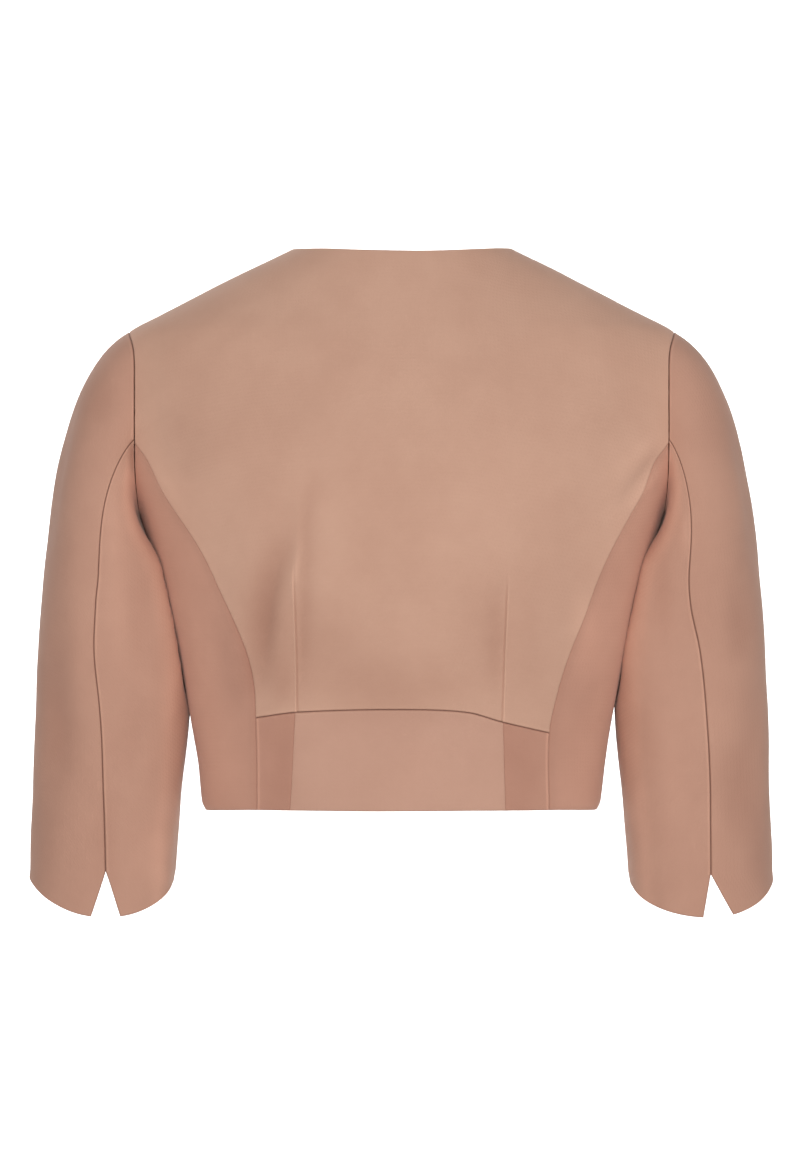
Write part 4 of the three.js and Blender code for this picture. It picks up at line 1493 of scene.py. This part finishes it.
def new_group(name: str, inputs: Sequence[tuple[str, str]], outputs: Sequence[tuple[str, str]]) -> tuple:
    """Starts a shader node group.

    Args:
        name: the group's name.
        inputs: names and socket types that it takes.
        outputs: names and socket types that it gives.

    Returns:
        The node tree, its builder, its input node and its output node.
    """
    tree = bpy.data.node_groups.new(name, "ShaderNodeTree")
    for label, kind in inputs:
        tree.interface.new_socket(name=label, in_out="INPUT", socket_type=kind)
    for label, kind in outputs:
        tree.interface.new_socket(name=label, in_out="OUTPUT", socket_type=kind)
    nodes = Nodes(tree)
    return tree, nodes, nodes.add("NodeGroupInput"), nodes.add("NodeGroupOutput")


class CrepeGroups:
    """Node groups that all the cloth shares: its pebbled weave, and its colour with random mottling, painted light
    and shade, and painted shade along seams and edges.
    """

    THREADS_PER_METRE = 2100.0
    PEBBLE_SCALE = 1500.0
    CLOUD_SCALE = 14.0
    BLOTCH_SCALE = 52.0
    # Tints that multiply the colour: painted light, painted shade that is darker and redder, and painted shade along
    # the seams and edges.
    PALER = (2.0, 2.0, 2.0)
    DEEPER = (0.56, 0.42, 0.38)
    STITCHED = (0.38, 0.26, 0.21)

    def __init__(self) -> None:
        """Builds both groups."""
        self.weave = self.build_weave()
        self.shade = self.build_shade()

    def build_weave(self) -> bpy.types.NodeTree:
        """Height of the crepe: twisted threads both ways, broken up by fine pebbles."""
        vector, number = "NodeSocketVector", "NodeSocketFloat"
        tree, nodes, given, made = new_group(
            "crepe_weave", [("Cloth", vector), ("Pebble", number)], [("Height", number)]
        )
        threads = []
        for direction in ("X", "Y"):
            wave = nodes.add("ShaderNodeTexWave", bands_direction=direction)
            wave.inputs["Scale"].default_value = self.THREADS_PER_METRE / 20
            wave.inputs["Distortion"].default_value = 3.0
            wave.inputs["Detail Scale"].default_value = 2.0
            nodes.link(given.outputs["Cloth"], wave.inputs["Vector"])
            threads.append(wave.outputs["Fac"])
        crossed = nodes.math("MULTIPLY", threads[0], threads[1])
        pebbles = nodes.noise(given.outputs["Cloth"], self.PEBBLE_SCALE, 2.0)
        raised = nodes.math("MULTIPLY", pebbles, given.outputs["Pebble"])
        nodes.link(nodes.math("ADD", crossed, raised), made.inputs["Height"])
        return tree

    def build_shade(self) -> bpy.types.NodeTree:
        """Colour of the cloth: soft random clouds and blotches, then painted light and shade, then painted shade
        along the seams and edges.
        """
        vector, colour, number = "NodeSocketVector", "NodeSocketColor", "NodeSocketFloat"
        tree, nodes, given, made = new_group(
            "crepe_shade",
            [("Place", vector), ("Light", colour), ("Deep", colour), ("Tone", number), ("Line", number)],
            [("Color", colour)],
        )
        clouds = nodes.noise(given.outputs["Place"], self.CLOUD_SCALE, 2.0)
        blotches = nodes.noise(given.outputs["Place"], self.BLOTCH_SCALE, 3.0)
        both = nodes.math("ADD", nodes.math("MULTIPLY", clouds, 0.7), nodes.math("MULTIPLY", blotches, 0.3))
        spread = nodes.add("ShaderNodeMapRange")
        spread.inputs["From Min"].default_value = 0.36
        spread.inputs["From Max"].default_value = 0.64
        nodes.link(both, spread.inputs["Value"])
        cloth = nodes.add("ShaderNodeMix", data_type="RGBA")
        nodes.link(spread.outputs[0], cloth.inputs[0])
        nodes.link(given.outputs["Light"], cloth.inputs[6])
        nodes.link(given.outputs["Deep"], cloth.inputs[7])
        tone = given.outputs["Tone"]
        # Positive values paint light, negative ones paint shade.
        painted_light = nodes.math("MAXIMUM", tone, 0.0)
        painted_shade = nodes.math("MAXIMUM", nodes.math("MULTIPLY", tone, -1.2), 0.0)
        result = cloth.outputs[2]
        for share, tint in zip((painted_light, painted_shade, given.outputs["Line"]), (self.PALER, self.DEEPER, self.STITCHED)):
            tinted = nodes.add("ShaderNodeMix", data_type="RGBA", blend_type="MULTIPLY")
            tinted.inputs[7].default_value = (*tint, 1)
            nodes.link(share, tinted.inputs[0])
            nodes.link(result, tinted.inputs[6])
            result = tinted.outputs[2]
        nodes.link(result, made.inputs["Color"])
        return tree


@dataclass(frozen=True)
class CrepeFinish:
    """Matte crepe in one colour.

    Attributes:
        slot: the record's material slot.
        light: linear colour of the lighter patches of its random mottling.
        deep: linear colour of the darker patches of its random mottling.
        groups: the shared node groups.
    """

    slot: str
    light: tuple[float, float, float]
    deep: tuple[float, float, float]
    groups: CrepeGroups

    @property
    def material(self) -> bpy.types.Material:
        """The material, made the first time that it is asked for."""
        name = f"{self.slot}_crepe"
        return bpy.data.materials.get(name) or self.build(name)

    def build(self, name: str) -> bpy.types.Material:
        """Makes the material.

        Args:
            name: the material's name.

        Returns:
            The new material.
        """
        made = bpy.data.materials.new(name)
        made.use_nodes = True
        made.node_tree.nodes.clear()
        nodes = Nodes(made.node_tree)
        output = nodes.add("ShaderNodeOutputMaterial")
        cloth = nodes.add("ShaderNodeBsdfPrincipled")
        cloth.inputs["Roughness"].default_value = 0.82
        cloth.inputs["Specular IOR Level"].default_value = 0.22
        cloth.inputs["Sheen Weight"].default_value = 0.2
        cloth.inputs["Sheen Roughness"].default_value = 0.5
        cloth.inputs["Sheen Tint"].default_value = (1.0, 0.86, 0.78, 1)
        place = nodes.add("ShaderNodeTexCoord")
        shade = nodes.add("ShaderNodeGroup", node_tree=self.groups.shade)
        shade.inputs["Light"].default_value = (*self.light, 1)
        shade.inputs["Deep"].default_value = (*self.deep, 1)
        nodes.link(place.outputs["Object"], shade.inputs["Place"])
        # Reads the painted light and shade and the painted shade along seams and edges, stored on the mesh.
        for label, socket in (("tone", "Tone"), ("line", "Line")):
            value = nodes.add("ShaderNodeAttribute", attribute_name=label)
            nodes.link(value.outputs["Fac"], shade.inputs[socket])
        weave = nodes.add("ShaderNodeGroup", node_tree=self.groups.weave)
        weave.inputs["Pebble"].default_value = 1.4
        nodes.link(place.outputs["UV"], weave.inputs["Cloth"])
        bump = nodes.add("ShaderNodeBump")
        bump.inputs["Strength"].default_value = 0.35
        bump.inputs["Distance"].default_value = 0.0002
        nodes.link(weave.outputs["Height"], bump.inputs["Height"])
        nodes.link(shade.outputs["Color"], cloth.inputs["Base Color"])
        nodes.link(bump.outputs["Normal"], cloth.inputs["Normal"])
        nodes.link(cloth.outputs[0], output.inputs[0])
        return made


@dataclass
class JacketPart:
    """Panels of the jacket that are made and dressed together."""

    panels: list[Panel] = field(default_factory=list, init=False)

    def pieces(self) -> list[Panel]:
        """The panels, still to be made."""
        raise NotImplementedError

    def build(self) -> None:
        """Makes each panel."""
        self.panels = self.pieces()
        for panel in self.panels:
            panel.build()

    def dress(self, finishes: dict[str, CrepeFinish]) -> None:
        """Gives each panel its cloth."""
        for panel in self.panels:
            panel.dress(finishes[panel.slot])


@dataclass
class Bodice(JacketPart):
    """The body of the jacket: a seamed back with a band at its foot, and two plain fronts."""

    def pieces(self) -> list[Panel]:
        """The back, the band and the fronts."""

        def princess(side: Side) -> Line:
            """The curved seam on one side."""
            return lambda z: BackSeams.princess(z, side)

        def band(side: Side) -> Line:
            """The band's upright seam on one side."""
            return lambda z: BackSeams.band(z, side)

        left, right = Side.LEFT, Side.RIGHT
        return [
            MiddleBack("back_middle", "body_cloth", Cut(0.44, 0.35, 0.118)),
            SideBack("back_side_left", "side_cloth", Cut(0.13, 0.26, 0.023), side=left),
            SideBack("back_side_right", "side_cloth", Cut(0.13, 0.26, 0.022), side=right),
            BandPiece(
                "band_middle", "band_cloth", Cut(0.156, 0.075, 0.0112), right_seam=band(right), left_seam=band(left)
            ),
            BandPiece(
                "band_left",
                "side_cloth",
                Cut(0.035, 0.07, 0.0019),
                right_seam=band(left),
                left_seam=princess(left),
                right_edge=BAND_UNDER,
                left_edge=BAND_PAINTED_HIGHLIGHT,
            ),
            BandPiece(
                "band_right",
                "side_cloth",
                Cut(0.04, 0.066, 0.0021),
                right_seam=princess(right),
                left_seam=band(right),
                right_edge=BAND_PAINTED_HIGHLIGHT,
                left_edge=BAND_UNDER,
            ),
            Front("front_left", "body_cloth", Cut(0.24, 0.42, 0.07), side=left),
            Front("front_right", "body_cloth", Cut(0.24, 0.42, 0.07), side=right),
        ]


@dataclass
class Sleeve(JacketPart):
    """A two-piece sleeve with a V cut in its hem."""

    side: Side

    def pieces(self) -> list[Panel]:
        """The upper and the under sleeve."""
        form = SleeveForm(self.side)
        cuts = {Half.UPPER: Cut(0.25, 0.47, 0.08), Half.UNDER: Cut(0.15, 0.36, 0.04)}
        return [
            SleeveHalf(
                f"{half.value}_sleeve_{self.side.word}", "sleeve_cloth", cut, SLEEVE_FOLDS, form=form, half=half
            )
            for half, cut in cuts.items()
        ]


class Lamp(NamedTuple):
    """A soft studio light: its place, its size in metres and its power."""

    name: str
    x: float
    y: float
    z: float
    size: float
    watts: float


@dataclass
class Studio:
    """A plain pale sweep, soft lights and a long lens behind the jacket.

    Attributes:
        floor_z: height of the floor, well below the hems.
        wall_y: place of the sweep's wall, beyond the jacket.
        distance: from the camera to the jacket.
        view_width: width of the picture at the jacket, in metres.
        picture: width and height of the picture in pixels.
        middle_z: height of the picture's middle.
        middle_x: place of the picture's middle across.
        floor_middle: place of the floor's middle.
        floor_width: width of the floor.
        wall_height: height of the wall above the floor.
        bend: size of the bend between floor and wall.
        lamps: the lights aimed at the jacket.
        backdrop_lamps: the lights aimed at the wall.
    """

    floor_z: float = -0.95
    wall_y: float = -5.4
    distance: float = 4.0
    view_width: float = 0.576
    picture: tuple[int, int] = (800, 1150)
    middle_z: float = -0.2347
    middle_x: float = 0.0012
    floor_middle: float = 1.2
    floor_width: float = 14.0
    wall_height: float = 4.5
    bend: float = 0.9
    lamps: tuple[Lamp, ...] = (
        Lamp("back_lamp", -0.1, 4.4, 0.2, 0.7, 76),
        Lamp("right_lamp", -2.1, 2.7, 0.9, 1.8, 11),
        Lamp("left_lamp", 2.1, 2.7, 0.8, 1.8, 6),
        Lamp("top_lamp", -0.3, 0.9, 2.3, 2.0, 7),
        Lamp("fore_lamp", 1.3, -2.6, 1.9, 1.6, 26),
    )
    backdrop_lamps: tuple[Lamp, ...] = (
        Lamp("backdrop_left", 2.2, -3.9, 0.2, 1.4, 85),
        Lamp("backdrop_right", -2.2, -3.9, 0.2, 1.4, 85),
    )

    def build(self) -> None:
        """Makes the floor, the lights and the camera."""
        self.build_floor()
        self.build_lights()
        self.build_camera()

    def build_floor(self) -> None:
        """Makes a floor that sweeps up into a wall."""
        bpy.ops.object.select_all(action="DESELECT")
        bpy.ops.mesh.primitive_plane_add(size=1, location=(0, self.floor_middle, self.floor_z))
        floor = bpy.context.object
        floor.name = "floor"
        floor.scale = (self.floor_width, 2 * (self.floor_middle - self.wall_y), 1)
        bpy.ops.object.transform_apply(location=True, rotation=True, scale=True)
        far = self.wall_y + 0.01
        for edge in floor.data.edges:
            edge.select = all(floor.data.vertices[i].co.y < far for i in edge.vertices)
        for face in floor.data.polygons:
            face.select = False
        for vertex in floor.data.vertices:
            vertex.select = vertex.co.y < far
        bpy.ops.object.mode_set(mode="EDIT")
        bpy.ops.mesh.select_mode(type="EDGE")
        bpy.ops.mesh.extrude_region_move(TRANSFORM_OT_translate={"value": (0, 0, self.wall_height)})
        bpy.ops.object.mode_set(mode="OBJECT")
        bend = floor.modifiers.new("sweep", "BEVEL")
        bend.width = self.bend
        bend.segments = 24
        bpy.ops.object.modifier_apply(modifier=bend.name)
        bpy.ops.object.shade_smooth()
        floor.data.materials.append(self.paper())

    @staticmethod
    def paper() -> bpy.types.Material:
        """Matte pale paper that can be seen through from behind."""
        paper = bpy.data.materials.new("pale_paper")
        paper.use_nodes = True
        shader = paper.node_tree.nodes["Principled BSDF"]
        shader.inputs["Base Color"].default_value = (0.9, 0.9, 0.9, 1)
        shader.inputs["Roughness"].default_value = 0.9
        nodes = Nodes(paper.node_tree)
        facing = nodes.add("ShaderNodeNewGeometry")
        clear = nodes.add("ShaderNodeBsdfTransparent")
        chosen = nodes.add("ShaderNodeMixShader")
        nodes.link(facing.outputs["Backfacing"], chosen.inputs[0])
        nodes.link(shader.outputs[0], chosen.inputs[1])
        nodes.link(clear.outputs[0], chosen.inputs[2])
        nodes.link(chosen.outputs[0], paper.node_tree.nodes["Material Output"].inputs[0])
        return paper

    def build_lights(self) -> None:
        """Makes the lamps and the even light all round."""
        jacket = Vector((0, 0, self.middle_z))
        wall = Vector((0, self.wall_y, self.middle_z))
        aimed = [(lamp, jacket) for lamp in self.lamps] + [(lamp, wall) for lamp in self.backdrop_lamps]
        for lamp, aim in aimed:
            light = bpy.data.lights.new(lamp.name, "AREA")
            light.size = lamp.size
            light.energy = lamp.watts
            holder = bpy.data.objects.new(lamp.name, light)
            holder.location = (lamp.x, lamp.y, lamp.z)
            holder.rotation_euler = (aim - holder.location).to_track_quat("-Z", "Y").to_euler()
            bpy.context.scene.collection.objects.link(holder)
        world = bpy.data.worlds.new("studio")
        world.use_nodes = True
        sky = world.node_tree.nodes["Background"]
        sky.inputs["Color"].default_value = (1, 1, 1, 1)
        sky.inputs["Strength"].default_value = 0.36
        bpy.context.scene.world = world

    def build_camera(self) -> None:
        """Makes the camera, level and square to the jacket's back."""
        lens = bpy.data.cameras.new("camera")
        view_height = self.view_width * self.picture[1] / self.picture[0]
        lens.lens = lens.sensor_width * self.distance / view_height
        camera = bpy.data.objects.new("camera", lens)
        camera.location = (self.middle_x, self.distance, self.middle_z)
        camera.rotation_euler = (math.pi / 2, 0, math.pi)
        bpy.context.scene.collection.objects.link(camera)
        bpy.context.scene.camera = camera
        bpy.context.scene.view_settings.view_transform = "Standard"


def main() -> None:
    """Builds the jacket, dresses it and sets it in the studio."""
    logging.basicConfig(level=logging.INFO, format="%(message)s")
    groups = CrepeGroups()
    finishes = {
        finish.slot: finish
        for finish in (
            CrepeFinish("body_cloth", (0.565, 0.335, 0.242), (0.53, 0.307, 0.22), groups),
            CrepeFinish("side_cloth", (0.5, 0.262, 0.187), (0.468, 0.241, 0.171), groups),
            CrepeFinish("band_cloth", (0.535, 0.307, 0.225), (0.505, 0.286, 0.208), groups),
            CrepeFinish("sleeve_cloth", (0.515, 0.284, 0.204), (0.48, 0.26, 0.186), groups),
        )
    }
    for part in (Bodice(), Sleeve(Side.LEFT), Sleeve(Side.RIGHT)):
        part.build()
        part.dress(finishes)
        for panel in part.panels:
            LOG.info("%s: %d faces", panel.piece.name, len(panel.piece.data.polygons))
    Studio().build()


if __name__ == "__main__":
    main()
